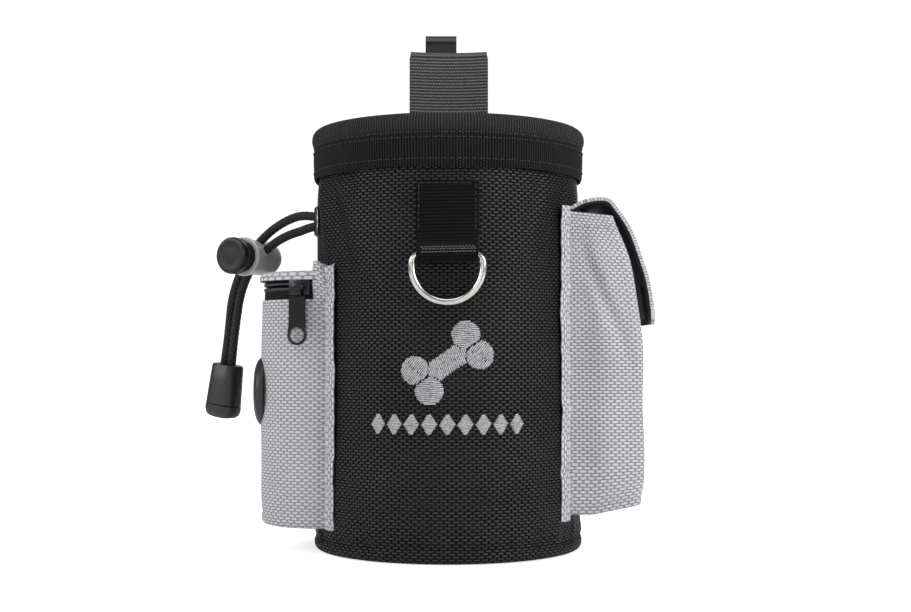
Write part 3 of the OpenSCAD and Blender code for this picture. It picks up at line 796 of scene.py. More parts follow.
def make_ring_tab():
    loop = [(-(BAR_Y) + 2.62 * math.cos(t), BAR_Z + 2.62 * math.sin(t))
            for t in np.radians(np.arange(48, -200, -12))]
    path = [(46.35, 118.1), (46.45, 112), (46.4, 105), (46.35, 101.5), (46.9, 99.3),
            (48.1, 98.0)] + loop + [(44.35, 98.2), (44.2, 101), (44.15, 110), (44.15, 117.8)]
    path = smooth_path(path, 120)
    x = np.linspace(9.5, -9.5, 22)[:, None]
    r, z = path[None, :, 0] + 0 * x, path[None, :, 1] + 0 * x
    straight = ramp(z, 101.5, -3.5)
    sag = TUBE_R - np.sqrt(TUBE_R ** 2 - x ** 2)
    depth = r - sag * (1 - straight)
    fray = 0.12 * np.sin(z * 2.3 + 1.1 * np.sign(x)) * (np.abs(x) > 9.2)
    grid = np.stack([x + fray + 0 * z, -depth, z + 0.02 * x], -1)
    cloth_piece("ring_tab_webbing", grid, 1.1, mat_tab, ["ring_tab"])
    lines = []
    for pts in (([-8.8, 117.4], [8.8, 117.4]), ([-8.8, 117.4], [-8.8, 102.4]), ([8.8, 117.4], [8.8, 102.4])):
        line = resample(np.array(pts, float), 40)
        s = TUBE_R - np.sqrt(TUBE_R ** 2 - line[:, 0] ** 2)
        lines.append(np.stack([line[:, 0], -(46.42 - s), line[:, 1]], 1))
    runs = sum([thread_paths(p, np.tile([0, -1.0, 0], (len(p), 1)), 1.5, 0.55, 0.2) for p in lines], [])
    stitch_piece("ring_tab_stitches", runs, 0.14, "pouch", mat_black_thread)
    nor = grid_normals(grid, False)
    runs = []
    for height, shift in ((97.5, 0.0), (96.8, 0.5), (96.1, 0.25)):
        row = int(np.argmin(np.abs(path[:60, 1] - height)))
        line, out = grid[1:-1, row] + [shift, 0, 0], nor[1:-1, row]
        runs += thread_paths(line + out * 0.05, out, 0.7, 0.35, 0.16)
    stitch_piece("ring_tab_fold_threads", runs, 0.17, "pouch", mat_worn_thread)
    r, w, leg = 1.15, 10.95, 3.8
    corner = 3.0
    pts = [(x, 0) for x in np.linspace(-(w - corner), w - corner, 14)]
    pts += [(w - corner + corner * math.sin(t), -corner + corner * math.cos(t))
            for t in np.linspace(0.15, math.pi / 2, 9)]
    pts += [(w * math.cos(t), -leg + w * math.sin(t)) for t in np.linspace(0, -math.pi, 49)]
    pts += [(-(w - corner) - corner * math.cos(t), -corner + corner * math.sin(t))
            for t in np.linspace(0, math.pi / 2 - 0.15, 9)]
    path = resample(np.array([(x, BAR_Y, BAR_Z + z) for x, z in pts + [pts[0]]], float), 161)[:-1]
    finish_piece(tubes("d_ring_wire", [path], r, 28, closed=True), "ring", mat_nickel, ["d_ring"])


# ---- cords, eyelet and lock ----

def cord_path(s):
    """Middle line of one drawcord, from the eyelet to the tail's end; s is +1 for the outer cord."""
    leads = ((-39.6, 0.9), (-41.5, 1.0), (-43.5, 1.05), (-45.0, 1.08))
    inside = [at_eyelet([x, 0, s * PAIR * k]) for x, k in leads]
    arc = []
    for t in np.linspace(0.06, 1, 40):
        a = t * ARC_END
        apart = max(0.0, 1 - a / LOCK_AT) ** 0.7 * 1.3 * math.sin(min(1, a / 0.25) * math.pi / 2)
        arc.append(on_arc([0, 0, s * (PAIR + apart)], a))
    tail = [on_arc([-x, 0.25 * math.sin(x / 6) * s, s * PAIR], ARC_END)
            for x in np.linspace(1.5, TAIL_LEN + 4, 14)]
    return smooth_path(np.array(inside + arc + tail), 420)


def make_cords():
    def braided(s, a):
        return CORD_R - 0.07 + 0.07 * np.maximum(np.sin(3.4 * s + 6 * a), np.sin(3.4 * s - 6 * a))

    for name, s in (("cord_outer", 1), ("cord_inner", -1)):
        o = tubes(name, [cord_path(s)], braided, 26)
        finish_piece(o, None, mat_cord, ["drawcord", "tail_cords"])
        on_arc([2.5, 0, 0], ARC_END) * MM
        on_arc([-2.5, 0, 0], ARC_END) * MM
        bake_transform(o)
    a = np.radians(np.linspace(185 + 2, 535 - 2, 360))
    ring = at_eyelet(np.stack([39.2 * np.cos(a), 39.2 * np.sin(a), 0 * a], 1))
    finish_piece(tubes("cord_channel_loop", [ring], CORD_R, 12), "pouch", mat_cord)


def make_eyelet():
    flange = [(3.6, 0.4), (3.62, 1.2), (3.9, 1.55), (4.4, 1.6), (4.85, 1.3), (4.95, 0.9), (4.6, 0.75),
            (4.0, 0.55), (3.98, -2.6), (3.6, -2.6)]

    def place(p):
        q = np.stack([-(TUBE_R - 0.35) - p[:, 1], p[:, 0], p[:, 2]], -1)
        return at_eyelet(q)

    o = lathe("eyelet_ring", smooth_path(flange, 44, True), 56, place)
    finish_piece(o, "pouch", mat_dark, ["cord_eyelet"])
    edge = np.array([place(np.array([[5.0 * math.cos(t), 0.75, 5.0 * math.sin(t)]]))[0]
            for t in np.linspace(0, 2 * math.pi, 60, endpoint=False)])
    finish_piece(tubes("eyelet_rim", [edge], 0.22, 10, closed=True), "pouch", mat_nickel)


def make_lock():
    def place(p):
        return on_arc(p, LOCK_AT)

    head = [(0, -13.0), (2.5, -12.95), (4.4, -12.9), (5.2, -13.05), (5.75, -12.9), (6.15, -12.3),
            (6.25, -11.4), (6.1, -10.4), (5.9, -10.05), (6.15, -9.7), (6.2, -9.4), (5.9, -9.25),
            (4.9, -9.2), (4.88, -6), (4.88, 3.6), (4.5, 4.2), (0, 4.3)]
    o = lathe("lock_button_head", head, 72, place, 30)
    finish_piece(o, "cord_button", mat_button, ["lock_button"])
    barrel = [(5.05, -5.8), (5.5, -6.0), (6.3, -5.95), (6.6, -5.6), (6.6, -4.6), (6.35, -4.1), (6.0, -3.9),
            (6.0, 5.5)]
    barrel += [(6.0 * math.cos(t), 5.8 + 6.0 * math.sin(t)) for t in np.linspace(0.08, math.pi / 2, 14)]
    barrel += [(0.0, 9.2), (3.0, 9.2), (3.0, 8.1), (5.05, 8.0)]
    o = lathe("lock_barrel_body", [(max(r, 0.0), s) for r, s in barrel], 72, place, 30)
    finish_piece(o, "cord_lock", mat_clear, ["lock_barrel"])


def make_cord_end():
    """Flattened bell with a lip line near its foot."""
    def section(w, d, power=3.0, n=56):
        t = np.linspace(0, 2 * math.pi, n, endpoint=False)
        c, s = np.cos(t), np.sin(t)
        return np.stack([np.sign(s) * np.abs(s) ** (2 / power) * d,
                np.sign(c) * np.abs(c) ** (2 / power) * w], 1)

    def loft(name, rows):
        p = np.array([[(-x, y, z) for y, z in section(w, d)] for x, w, d in rows])
        n, k = p.shape[:2]
        q = quads(n, k, False, True)[0]
        faces = q.tolist() + [list(range(k))[::-1], [(n - 1) * k + i for i in range(k)]]
        return add_mesh(name, on_arc(p.reshape(-1, 3), ARC_END), faces, None, 40)

    t = TAIL_LEN
    o = loft("cord_end_bell", [(t - 0.1, 4.5, 3.2), (t, 4.95, 3.7), (t + 0.5, 5.25, 4.0),
            (t + 6, 5.6, 4.25), (t + 13.2, 6.0, 4.45), (t + 13.7, 6.0, 4.45), (t + 13.9, 5.7, 4.2)])
    finish_piece(o, "cord_tail", mat_plastic, ["cord_end_shell"])
    o = loft("cord_end_foot", [(t + 13.8, 5.6, 4.1), (t + 14.1, 6.1, 4.5), (t + 15.6, 6.15, 4.55),
            (t + 17.2, 5.7, 4.2), (t + 18.1, 4.6, 3.5), (t + 18.5, 3.0, 2.4)])
    finish_piece(o, "cord_tail", mat_plastic, ["cord_end_cap"])


# ---- zipped pocket ----

def left_plan(count):
    """Plan line of the zipped pocket from front seam to back seam, with its outward directions."""
    t = np.linspace(-math.pi / 2, -3 * math.pi / 2, count)
    r = POCKET_R
    arc = np.stack([POCKET_X + r * np.cos(t), r * np.sin(t)], 1)
    k = max(2, int(count * 3.0 / 66))
    front = np.stack([np.linspace(SEAM_X, POCKET_X, k + 1)[:-1], np.full(k, -r)], 1)
    line = np.vstack([front, arc, front[::-1] * [1, -1]])
    nor = np.vstack([np.tile([0, -1.0], (k, 1)), np.stack([np.cos(t), np.sin(t)], 1),
            np.tile([0, 1.0], (k, 1))])
    return line, nor


def wall_grid(profile, count, offset=None):
    """Grid over the zipped pocket's plan, ending in the tube's wall; profile is (outward, height)."""
    line, nor = left_plan(count)
    prof = np.asarray(profile, float)
    s = arc_lengths(line)[:, None] / arc_lengths(line)[-1]
    out = prof[None, :, 0] + 0 * s
    if offset is not None:
        out = out + offset(s, prof[None, :, 1] + 0 * s)
    xy = line[:, None] + nor[:, None] * out[..., None]
    within = np.hypot(xy[..., 0], xy[..., 1]) < WALL_MID_R
    xy[..., 0] = np.where(within, -np.sqrt(np.maximum(WALL_MID_R ** 2 - xy[..., 1] ** 2, 0)), xy[..., 0])
    z = np.broadcast_to(prof[None, :, 1], out.shape)
    return np.concatenate([xy, z[..., None]], -1)


def level_weave(o):
    """Lets the weave of near-level faces run straight across instead of round the pocket."""
    uv = o.data.uv_layers["cloth"].data
    for face in o.data.polygons:
        if abs(face.normal.z) > 0.75:
            for corner in face.loop_indices:
                co = o.data.vertices[o.data.loops[corner].vertex_index].co / MM
                uv[corner].uv = (co.y, co.x)


def make_left_pocket():
    top = 82.5
    foot = [(0.0, 12), (-0.05, 9.6), (-0.6, 8.5), (-1.8, 8.05), (-8, 8.1), (-19.5, 8.3)]
    prof = np.vstack([smooth_path([(0.05, top), (0.1, 60), (0.1, 30), (0.0, 12)], 64),
            smooth_path(foot, 30)[1:]])

    def offset(s, z):
        mid = np.sin(math.pi * np.clip(s, 0, 1)) ** 0.6 * ramp(z, 9, 10) * ramp(z, top, -12)
        seam = -0.35 * np.exp(-((z - 12.5) / 0.9) ** 2)
        return mid * (0.2 + 0.12 * np.sin(9 * s + z / 11) * np.sin(z / 6.5 + 3 * s)) + seam

    grid = wall_grid(prof, 110, offset)
    ring_gap = np.hypot(grid[..., 1], grid[..., 2] - 52) < 12.5
    pinned = (ring_gap & (grid[..., 0] < -58)) | (grid[..., 2] > 81.6) | (grid[..., 2] < 8.6)
    pinned[:3] = pinned[-3:] = True
    grid = relax(grid, pinned, pressure=1.2, grow=0.025, cap=1.5)
    cloth_piece("left_pocket_fabric", grid, 1.0, mat_grey, ["left_pocket"])
    lid_prof = np.vstack([smooth_path([(0.1, 88.85), (0.12, 89.6), (-0.25, 90.5), (-1.2, 90.9)], 14),
            smooth_path([(-1.2, 90.9), (-8, 91.0), (-19.5, 90.9)], 24)[1:]])

    def crease(s, z):
        return 0.12 * np.sin(21 * s) * np.sin(math.pi * s)

    o = shell("left_pocket_lid", wall_grid(lid_prof, 120, crease), 0.9)
    level_weave(o)
    finish_piece(o, "pouch", mat_grey, ["pocket_lid"])
    for name, z0, z1, node in (("zip_tape_low", 80.0, 85.45, "zip_tape_lower"),
            ("zip_tape_high", 88.2, 90.0, "zip_tape_upper")):
        prof = smooth_path([(-0.75, z1), (-0.7, (z0 + z1) / 2), (-1.2, z0)], 12)
        cloth_piece(name, wall_grid(prof, 100), 0.6, mat_tape, [node])

    def coil(s, a):
        return 0.5 + 0.18 * np.abs(np.sin(math.pi * s / 1.0)) ** 0.5 + 0 * a

    for name, z, node in (("zip_teeth_low", 85.95, "zip_coil_lower"),
            ("zip_teeth_high", 87.65, "zip_coil_upper")):
        t = np.radians(np.linspace(-90 - 7, -90 - 173, 720))
        r = POCKET_R - 1.1
        path = np.stack([POCKET_X + r * np.cos(t), r * np.sin(t), z + 0 * t], 1)
        finish_piece(tubes(name, [path], coil, 12), "pouch", mat_coil, [node])
    for side, tag in ((-1, "front"), (1, "back")):
        make_flange("left_seam_" + tag, -1, side, 8.2, 93.0, 19 + side, ["left_seams"])
        make_zip_end(tag, side)


def make_zip_end(tag, side):
    """Turned fabric fold over the end of the zip beside the seam."""
    u, v = np.linspace(0, 1, 26)[:, None], np.linspace(0, 1, 34)[None, :]
    x = -43.9 + 7.3 * u + 0 * v
    base = np.maximum(POCKET_R, np.sqrt(np.maximum(TUBE_R ** 2 - x ** 2, 0)))
    edge = np.sin(math.pi * np.clip(u, 0.0, 1)) ** 0.45 * np.sin(math.pi * np.clip(v, 0.0, 1)) ** 0.35
    lump = 0.35 * np.sin(9 * u + 7 * v + side) + 0.28 * np.sin(17 * v - 5 * u)
    y = base - 0.3 + edge * (1.75 + lump)
    z = 80.0 + 14.2 * v + 0.8 * np.sin(5 * u + 1) * v + 0 * u
    x = x + 0.5 * np.sin(6 * v + 1) * (u < 0.5) * (0.5 - u)
    grid = np.stack([x, side * y, z], -1)
    cloth_piece("zip_end_" + tag, grid[::-1] if side > 0 else grid, 0.4, mat_grey)


def make_flange(name, dir_x, side, z0, z1, seed, replaces=()):
    """Turned seam edge lying on the tube beside a pocket."""
    a0, a1 = math.radians(27.4), math.radians(35.2)
    r = np.random.default_rng(seed)
    z = np.linspace(z0, z1, 130)
    across = np.linspace(0, 1, 14)
    phase = r.uniform(0, 6.28, 4)
    drift = 0.4 * np.sin(z / 9 + phase[0]) + 0.3 * np.sin(z / 3.7 + phase[1])
    drift = drift + 0.15 * np.sin(z / 1.3 + phase[3])
    a = a0 + (a1 - a0) * across[None, :] + drift[:, None] * 0.011 * (0.3 + across[None, :])
    hump = np.sin(np.pi * np.clip(across, 0.02, 0.98)) ** 0.5
    groove = 1 - 0.45 * np.exp(-((across - 0.42) / 0.09) ** 2)
    rough = 1 + 0.22 * np.sin(z / 2.1 + phase[2]) + 0.15 * np.sin(z / 0.9)
    h = TUBE_R + 0.3 + 1.35 * hump[None, :] * groove[None, :] * rough[:, None]
    grid = np.stack([dir_x * h * np.cos(a), side * h * np.sin(a), z[:, None] + 0 * a], -1)
    if dir_x * side > 0:
        grid = grid[::-1]
    cloth_piece(name, grid, 0.35, mat_grey, replaces)
    mid = grid[:, 6]
    nor = outward(mid)
    runs = thread_paths(mid + nor * 0.03, nor, 2.4, 0.8, 0.18)
    stitch_piece(name + "_stitches", runs, 0.17, "pouch", mat_grey_thread)


def make_zip_hardware():
    y = -POCKET_R
    boxes = [((0, y - 0.5, -0.5), (7.2, 0.9, 5.0)), ((0, y + 2.75, -0.5), (7.2, 0.9, 5.0)),
            ((0, y + 1.0, 0), (2.0, 3.0, 0.4)), ((-1.9, y - 1.75, -0.5), (0.8, 2.6, 1.4)),
            ((1.9, y - 1.75, -0.5), (0.8, 2.6, 1.4)), ((0, -PULL_BAR, -0.5), (3.8, 1.3, 1.3))]
    o = blocks("zip_slider_body", boxes, at_slider, 0.28)
    finish_piece(o, "slider", mat_zip, ["zip_slider"])

    def place(p):
        return at_slider(np.asarray(p) + [0, -PULL_BAR, -0.5])

    drop, outer, hole, half, top = 15.5, 3.3, 2.45, 2.5, 12.6
    ang = np.linspace(0, 2 * math.pi, 144, endpoint=False)
    reach = []
    for t in ang:
        s, c = math.sin(t), math.cos(t)
        r = outer
        if c > 0 and abs(s) * outer < half + 0.6:
            waist = half + 0.8 * math.exp(-((c * outer) / 3.0) ** 2)
            r = max(outer, min(waist / max(abs(s), 1e-6), top / max(c, 1e-6)))
        reach.append(r)
    half_t, e = 0.6, 0.2
    pts = []
    for t, r in zip(ang, reach):
        rr = [hole, hole + e, r - e, r, r, r - e, hole + e, hole]
        yy = [-half_t + e, -half_t, -half_t, -half_t + e, half_t - e, half_t, half_t, half_t - e]
        pts.append([(q * math.sin(t), w, -drop + q * math.cos(t)) for q, w in zip(rr, yy)])
    pts = np.array(pts)
    q = quads(len(ang), 8, True, True)[0]
    o = add_mesh("zip_pull_tab", place(pts.reshape(-1, 3)), q, None, 40)
    finish_piece(o, "pull", mat_zip, ["zip_pull"])
    o = blocks("zip_pull_knuckle", [((0, 0, -0.9), (2.8, 1.3, 3.6)), ((0, 0, 0), (2.8, 2.2, 2.2))], place,
            0.4)
    finish_piece(o, "pull", mat_zip)


def make_outlet():
    def place(p):
        return np.stack([-p[:, 1], p[:, 0], p[:, 2] + 52.0], -1)

    face = -POCKET_X + POCKET_R
    prof = [(7.0, face - 0.8), (7.05, face + 1.3), (7.5, face + 1.9), (8.6, face + 2.05),
            (9.8, face + 1.75), (11.0, face + 1.0), (11.5, face + 0.2), (11.4, face - 1.6)]
    o = lathe("outlet_ring", smooth_path(prof, 40, True), 80, place)
    finish_piece(o, "pouch", mat_plastic, ["bag_outlet"])


# ---- flap pocket ----

def make_right_pocket():
    face = [(53.9, 109.6), (59.0, 95.5), (62.2, 78), (63.3, 60), (63.8, 36), (63.8, 22), (62.8, 15.5)]
    zs = np.linspace(109.6, 13.4, 92)
    prof = smooth_path(face, 80)
    x_of = np.interp(zs, prof[::-1, 1], prof[::-1, 0])
    hw, corner, n_side, n_face, n_arc = 21.0, 2.4, 22, 40, 9
    inner = math.sqrt(44.4 ** 2 - hw ** 2)
    rows = []
    for z, x in zip(zs, x_of):
        side = np.stack([np.linspace(inner, x - corner, n_side), np.full(n_side, -hw)], 1)
        t = np.linspace(-math.pi / 2, 0, n_arc)[1:]
        arc = np.stack([x - corner + corner * np.cos(t), -hw + corner + corner * np.sin(t)], 1)
        mid = np.stack([np.full(n_face, x), np.linspace(-hw + corner, hw - corner, n_face)], 1)[1:]
        half = np.vstack([side, arc])
        rows.append(np.vstack([half, mid[:-1], (half * [1, -1])[::-1]])[::-1])
    plan = np.array(rows).transpose(1, 0, 2)
    n, m = plan.shape[:2]
    z = np.broadcast_to(zs[None, :], (n, m)).copy()
    z += ramp(z, 98, 12) * 1.6 * (1 - ramp(plan[..., 0], inner, 15))
    z += ramp(z, 30, -16) * 3.2 * ramp(plan[..., 0], 48, 16)
    grid = np.dstack([plan, z])
    foot = grid[:, -1:].copy()
    rings = [grid]
    for k, drop in ((0.4, 0.5), (1.0, 0.75), (3.0, 0.8), (10.0, 0.7), (18.0, 0.6)):
        step = foot.copy()
        step[..., 0] = np.maximum(foot[..., 0] - k, np.minimum(foot[..., 0], 44.8))
        step[..., 1] = np.sign(foot[..., 1]) * np.maximum(np.abs(foot[..., 1]) - k, 0.0)
        step[..., 2] = foot[..., 2] - drop
        rings.append(step)
    grid = np.concatenate(rings, 1)
    s = np.linspace(0, 1, n)[:, None]
    flat = np.minimum(s, 1 - s) * 2
    zz = grid[..., 2]
    body = ramp(zz, 16, 14) * ramp(zz, 109, -14)
    nor = grid_normals(grid, False)
    fold = 0.45 * np.sin((zz + 46 * s * np.sign(0.5 - s)) / 7.5) * np.sin(zz / 16 + 1)
    dent = np.exp(-((zz - 88 + 120 * (flat - 0.2)) / 6.0) ** 2)
    belly = np.exp(-((flat - 0.24) / 0.13) ** 2) * (1.2 - 1.5 * dent)
    grid = grid + nor * (body * np.clip(flat * 5, 0, 1) * (0.15 + fold + belly))[..., None]
    pinned = np.zeros((n, grid.shape[1]), bool)
    pinned[:3] = pinned[-3:] = True
    pinned[:, :2] = True
    pinned[:, m + 2:] = True
    grid = relax(grid, pinned, pressure=1.6, grow=0.03, cap=2.0)
    cloth_piece("right_pocket_fabric", grid, 1.0, mat_grey, ["right_pocket"])
    for side, tag in ((-1, "front"), (1, "back")):
        make_flange("right_seam_" + tag, 1, side, 11.0, 112.6, 29 + side)
    nor = grid_normals(grid, False)
    for row, tag in ((4, "hem"), (m - 3, "foot")):
        runs = thread_paths(grid[4:-4, row] + nor[4:-4, row] * 0.03, nor[4:-4, row], 2.3, 0.8, 0.16)
        stitch_piece("right_" + tag + "_stitches", runs, 0.16, "pouch", mat_grey_thread)
    dress_node("loop_patch", mat_hook)


def flap_sheet(name, line, half, thick, mat, replaces, out=0.0, corner=4.0, fold=9.0):
    """Sheet with its root sewn round the tube, flat from the fold on."""
    path = offset_line(smooth_path(line, 80), out)
    y = np.linspace(1, -1, 48)
    s = arc_lengths(path)
    grid = np.zeros((len(y), len(path), 3))
    for i, k in enumerate(y):
        edge = ramp(abs(k) * half, half - corner, corner)
        trim = corner * (1 - math.sqrt(max(0.0, 1 - edge ** 2)))
        t = s * (s[-1] - trim) / s[-1]
        lead = np.clip(1 - t / fold, 0, 1) ** 1.5
        behind = TUBE_R - math.sqrt(TUBE_R ** 2 - (k * half) ** 2)
        grid[i, :, 0] = np.interp(t, s, path[:, 0]) - behind * lead
        grid[i, :, 2] = np.interp(t, s, path[:, 1])
        grid[i, :, 1] = k * half
    sway = 0.3 * np.sin(y * 2.6 + 0.5)[:, None] * ramp(s, 12, 20)[None, :]
    grid[..., 0] += sway + 0.15 * np.sin(y * 7)[:, None] * ramp(s, 30, 14)[None, :]
    o = shell(name, grid, thick)
    finish_piece(o, None, mat, replaces)
    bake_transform(o)
    return grid


def make_flap():
    line = [(44.5, 112.6), (46.4, 114.7), (49.4, 115.7), (52.6, 115.3), (55.4, 112.3), (60.0, 105.4),
            (63.5, 96.5), (66.0, 88.4), (67.3, 80.5), (67.8, 74.4)]
    grid = flap_sheet("flap_fabric", line, 20.0, 1.1, mat_grey, ["flap_root", "flap_shell"])
    flap_sheet("flap_lining_cloth", line, 19.5, 0.7, mat_lining, ["flap_lining"], -1.12)
    edge = np.concatenate([grid[3, 34:-3], grid[3:-3, -3], grid[-3, 34:-3][::-1]])
    nor = grid_normals(grid, False)
    normal = np.concatenate([nor[3, 34:-3], nor[3:-3, -3], nor[-3, 34:-3][::-1]])
    runs = thread_paths(edge + normal * 0.03, normal, 2.3, 0.8, 0.16)
    stitch_piece("flap_stitches", runs, 0.16, "flap", mat_grey_thread)
    path = offset_line(smooth_path([(64.9, 88.0), (66.2, 80.5), (66.7, 76.2)], 26), -0.8)
    y = np.linspace(11, -11, 20)
    grid = np.stack([np.broadcast_to(path[None, :, 0], (20, 26)), np.broadcast_to(y[:, None], (20, 26)),
            np.broadcast_to(path[None, :, 1], (20, 26))], -1)
    finish_piece(shell("flap_hook_tape", grid, 0.8), "flap", mat_hook, ["hook_patch"])


# ---- belt loop and clip ----

def make_back():
    arch = [(50.7 - 4.6 * math.cos(t), 173.1 + 4.6 * math.sin(t)) for t in np.radians(np.arange(0, 181, 20))]
    line = [(44.25, 58), (44.3, 90), (44.4, 114), (45.2, 120), (46.3, 124), (46.5, 135),
            (46.3, 150)] + arch + [(55.4, 150), (55.4, 110), (55.0, 88), (50.5, 77), (47.0, 69), (46.7, 58)]
    path = smooth_path(line, 190)
    x = np.linspace(-14.2, 14.2, 26)[:, None]
    r, z = path[None, :, 0] + 0 * x, path[None, :, 1] + 0 * x
    grid = np.stack([x + 0 * r, np.sqrt(np.maximum(r ** 2 - x ** 2, 1)), z + 0 * x], -1)
    # the belt loop's light webbing colour is painted light
    cloth_piece("belt_loop_webbing", grid, 1.5, mat_web_painted_light, ["back_strap"])
    runs = []
    for a, b in (([-13, 66], [13, 66]), ([-13, 60], [13, 60]), ([-13, 60], [-13, 66]), ([13, 60], [13, 66]),
            ([-13, 60], [13, 66]), ([-13, 66], [13, 60])):
        q = resample(np.array([a, b], float), 40)
        y = np.sqrt(47.0 ** 2 - q[:, 0] ** 2)
        p = np.stack([q[:, 0], y, q[:, 1]], 1)
        runs += thread_paths(p, np.tile([0, 1.0, 0], (40, 1)), 2.0, 0.6, 0.25)
    stitch_piece("belt_loop_stitches", runs, 0.2, "pouch", mat_black_thread)
    arc = [(59.4 - 4.0 * math.cos(t), 182 + 4.0 * math.sin(t)) for t in np.radians(np.arange(0, 181, 9))]
    strip_piece("clip_fixed_leg", [(55.4, 122), (55.4, 140), (55.4, 165)] + arc, "pouch", ["clip_base"])
    arm = [(63.4, 181.7), (63.4, 165), (63.2, 152), (61.4, 140), (59.1, 131), (59.2, 127), (60.6, 123),
            (63.0, 119)]
    strip_piece("clip_spring_arm", arm, "clip", ["clip_arm"])
    dress_node("clip_rivets", mat_steel).data.set_sharp_from_angle(angle=math.radians(35))


def strip_piece(name, line, body, replaces):
    """One leg of the steel clip, bent along a line of (depth, height)."""
    path = smooth_path(line, 110)
    x = np.linspace(CLIP_X - CLIP_WIDTH / 2, CLIP_X + CLIP_WIDTH / 2, 8)[:, None]
    grid = np.stack([x + 0 * path[None, :, 0], path[None, :, 0] + 0 * x, path[None, :, 1] + 0 * x], -1)
    o = shell(name, grid, CLIP_THICK, sharp=40)
    bevel = o.modifiers.new("edge", "BEVEL")
    bevel.width, bevel.segments = 0.2 * MM, 2
    bevel.limit_method, bevel.angle_limit = "ANGLE", math.radians(50)
    finish_piece(o, body, mat_dark, replaces)


# ---- embroidery ----

def chords(inside, lo, hi, step=0.05):
    """Intervals of t in which inside(t) holds."""
    t = np.arange(lo, hi, step)
    flags = np.array([inside(k) for k in t])
    out, start = [], None
    for k, f in zip(t, flags):
        if f and start is None:
            start = k
        if not f and start is not None:
            out.append((start, k))
            start = None
    if start is not None:
        out.append((start, hi))
    return out


def satin(points_a, points_b, lift=0.42):
    """A thread lying between two points (x, z) on the front of the tube."""
    t = np.linspace(0, 1, 9)
    q = np.outer(1 - t, points_a) + np.outer(t, points_b)
    h = TUBE_R + 0.16 + lift * np.sin(math.pi * t) ** 0.35
    return round_tube(np.stack([q[:, 0], h, q[:, 1]], -1))


def satin_block(inside, centre, angle, reach, place, r, pitch=0.58, longest=6.5):
    """Side-by-side threads at one angle filling the area where inside(x, y) holds."""
    d = np.array([math.cos(angle), math.sin(angle)])
    n = np.array([-d[1], d[0]])
    threads = []
    for k in np.arange(-reach, reach, pitch):
        base = np.asarray(centre, float) + n * k
        for lo, hi in chords(lambda t: inside(*(base + d * t)), -reach, reach):
            cuts = np.linspace(lo, hi, 2 + int((hi - lo) / longest))
            cuts[1:-1] += r.uniform(-0.8, 0.8, len(cuts) - 2)
            for a, b in zip(cuts[:-1], cuts[1:]):
                if b - a > 0.6:
                    ja, jb = r.uniform(-0.16, 0.16, 2)
                    sway = n * r.uniform(-0.07, 0.07)
                    threads.append(satin(place(*(base + d * (a + ja) - sway)),
                            place(*(base + d * (b + jb) + sway))))
    return threads


def make_embroidery():
    r = np.random.default_rng(41)
    tilt = math.radians(35)
    c, s = math.cos(tilt), math.sin(tilt)

    def place(x, y):
        return np.array([x * c - y * s, 62 + x * s + y * c])

    def in_lobe(x, y, sx, sy, grow=0.0):
        return (x - sx * 9.6) ** 2 + (y - sy * 3.8) ** 2 < (4.4 + grow) ** 2

    def in_shaft(x, y):
        near = any(in_lobe(x, y, sx, sy, 0.15) for sx in (-1, 1) for sy in (-1, 1))
        return abs(x) <= 9.0 and abs(y) <= 3.1 + 0.012 * x * x and not near

    threads = satin_block(in_shaft, (0, 0), math.radians(74), 10.5, place, r)
    for sx in (-1, 1):
        for sy in (-1, 1):
            def inside(x, y):
                return in_lobe(x, y, sx, sy) and sy * y > 0.25
            threads += satin_block(inside, (sx * 9.6, sy * 3.8), math.radians(-24 * sx * sy - 8), 5.2,
                    place, r)
    finish_piece(tubes("emblem_threads", threads, 0.25, 6), "pouch", mat_thread, ["emblem"])
    threads = []
    for i in range(-4, 5):
        for z in np.arange(-3.3, 3.31, 0.47):
            half = 2.45 * (1 - abs(z) / 3.6)
            if half < 0.3:
                continue
            j = r.uniform(-0.1, 0.1)
            threads.append(satin(np.array([i * 5.6 - half + j, 43 + z - 0.14]),
                    np.array([i * 5.6 + half + j, 43 + z + 0.14]), 0.34))
    finish_piece(tubes("border_threads", threads, 0.22, 6), "pouch", mat_thread,
            ["emblem_border"])


# ---- everything ----

make_tube()
make_rim()
make_inside()
make_ring_tab()
make_cords()
make_eyelet()
make_lock()
make_cord_end()
make_left_pocket()
make_zip_hardware()
make_outlet()
make_right_pocket()
make_flap()
make_back()
make_embroidery()

for node, mat in (("base_stiffener", mat_board), ("rim_hoop", mat_steel), ("eyelet_washer", mat_nickel),
        ("zip_stops", mat_dark), ("outlet_backing", mat_plastic), ("lock_spring", mat_steel)):
    dress_node(node, mat)


# ---- camera, light and floor ----

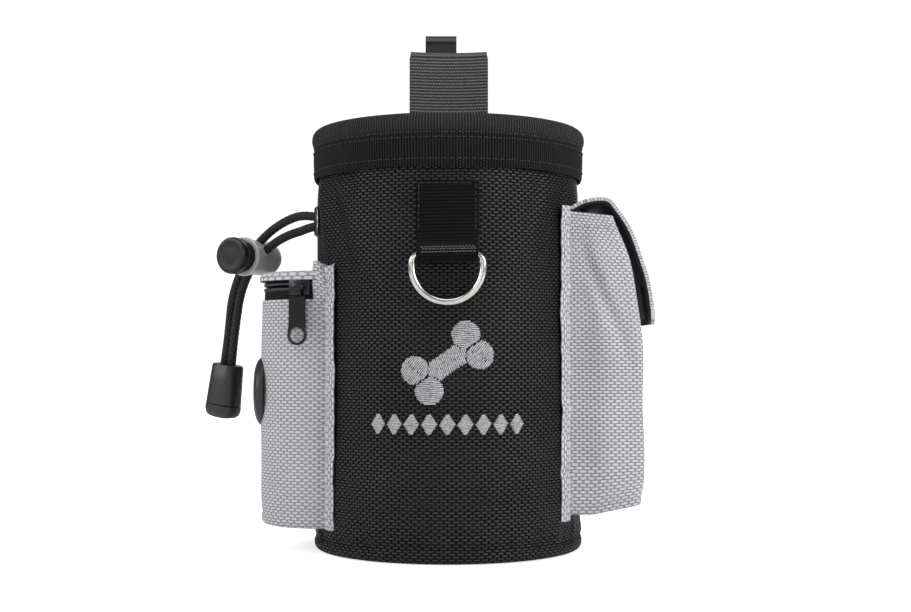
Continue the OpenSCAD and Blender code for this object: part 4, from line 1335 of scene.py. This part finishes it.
def make_stage():
    bpy.ops.mesh.primitive_plane_add(size=6, location=(0, 0, -0.0002))
    floor = bpy.context.object
    floor.name = "floor"
    m, nt, bsdf = new_material("floor")
    drive(bsdf, Base_Color=(0.92, 0.92, 0.92, 1), Roughness=0.7, Specular_IOR_Level=0.0)
    seen = Field(nt, add_node(nt, "ShaderNodeLightPath").outputs["Is Camera Ray"])
    distance = add_node(nt, "ShaderNodeVectorMath", {0: object_place(nt)},
            operation="LENGTH").outputs["Value"]
    fade = (Field(nt, distance) - 0.25).at_least(0.0).at_most(0.5)
    drive(bsdf, Emission_Color=(1, 1, 1, 1), Emission_Strength=seen * (fade + FLOOR_GLOW))
    floor.data.materials.append(m)
    world = bpy.data.worlds.new("studio")
    bpy.context.scene.world = world
    world.use_nodes = True
    nt = world.node_tree
    seen = Field(nt, add_node(nt, "ShaderNodeLightPath").outputs["Is Camera Ray"])
    strength = seen * (WORLD_SEEN - WORLD_LIGHT) + WORLD_LIGHT
    drive(nt.nodes["Background"], Color=(1, 1, 1, 1), Strength=strength)
    for name, loc, size, energy in LAMPS:
        lamp = bpy.data.lights.new(name, "AREA")
        lamp.energy, lamp.size = energy, size
        o = bpy.data.objects.new(name, lamp)
        bpy.context.scene.collection.objects.link(o)
        o.location = loc
        o.rotation_euler = (Vector((0, 0, 0.08)) - Vector(loc)).to_track_quat("-Z", "Y").to_euler()
    cam = bpy.data.cameras.new("camera")
    cam.lens, cam.sensor_width = LENS, SENSOR
    o = bpy.data.objects.new("camera", cam)
    bpy.context.scene.collection.objects.link(o)
    o.location = CAMERA_AT
    o.rotation_euler = (math.radians(90 + CAMERA_TILT), 0, 0)
    cam.clip_start = 0.01
    bpy.context.scene.camera = o
    bpy.context.scene.view_settings.view_transform = "Standard"


WORLD_LIGHT, WORLD_SEEN, FLOOR_GLOW = 0.28, 1.1, 0.62
CAMERA_AT, CAMERA_TILT, LENS, SENSOR = (0.0025, -0.484, 0.066), 1.76, 56.43, 36
LAMPS = [("left", (-0.8, -0.35, 0.45), 0.5, 4.0), ("right", (0.72, -0.45, 0.4), 0.5, 6.0),
        ("top", (0.0, -0.15, 0.9), 0.7, 3.6), ("front", (-0.25, -1.1, 0.3), 0.4, 1.2),
        ("back", (0.15, 1.1, 0.5), 0.6, 2.2)]
make_stage()
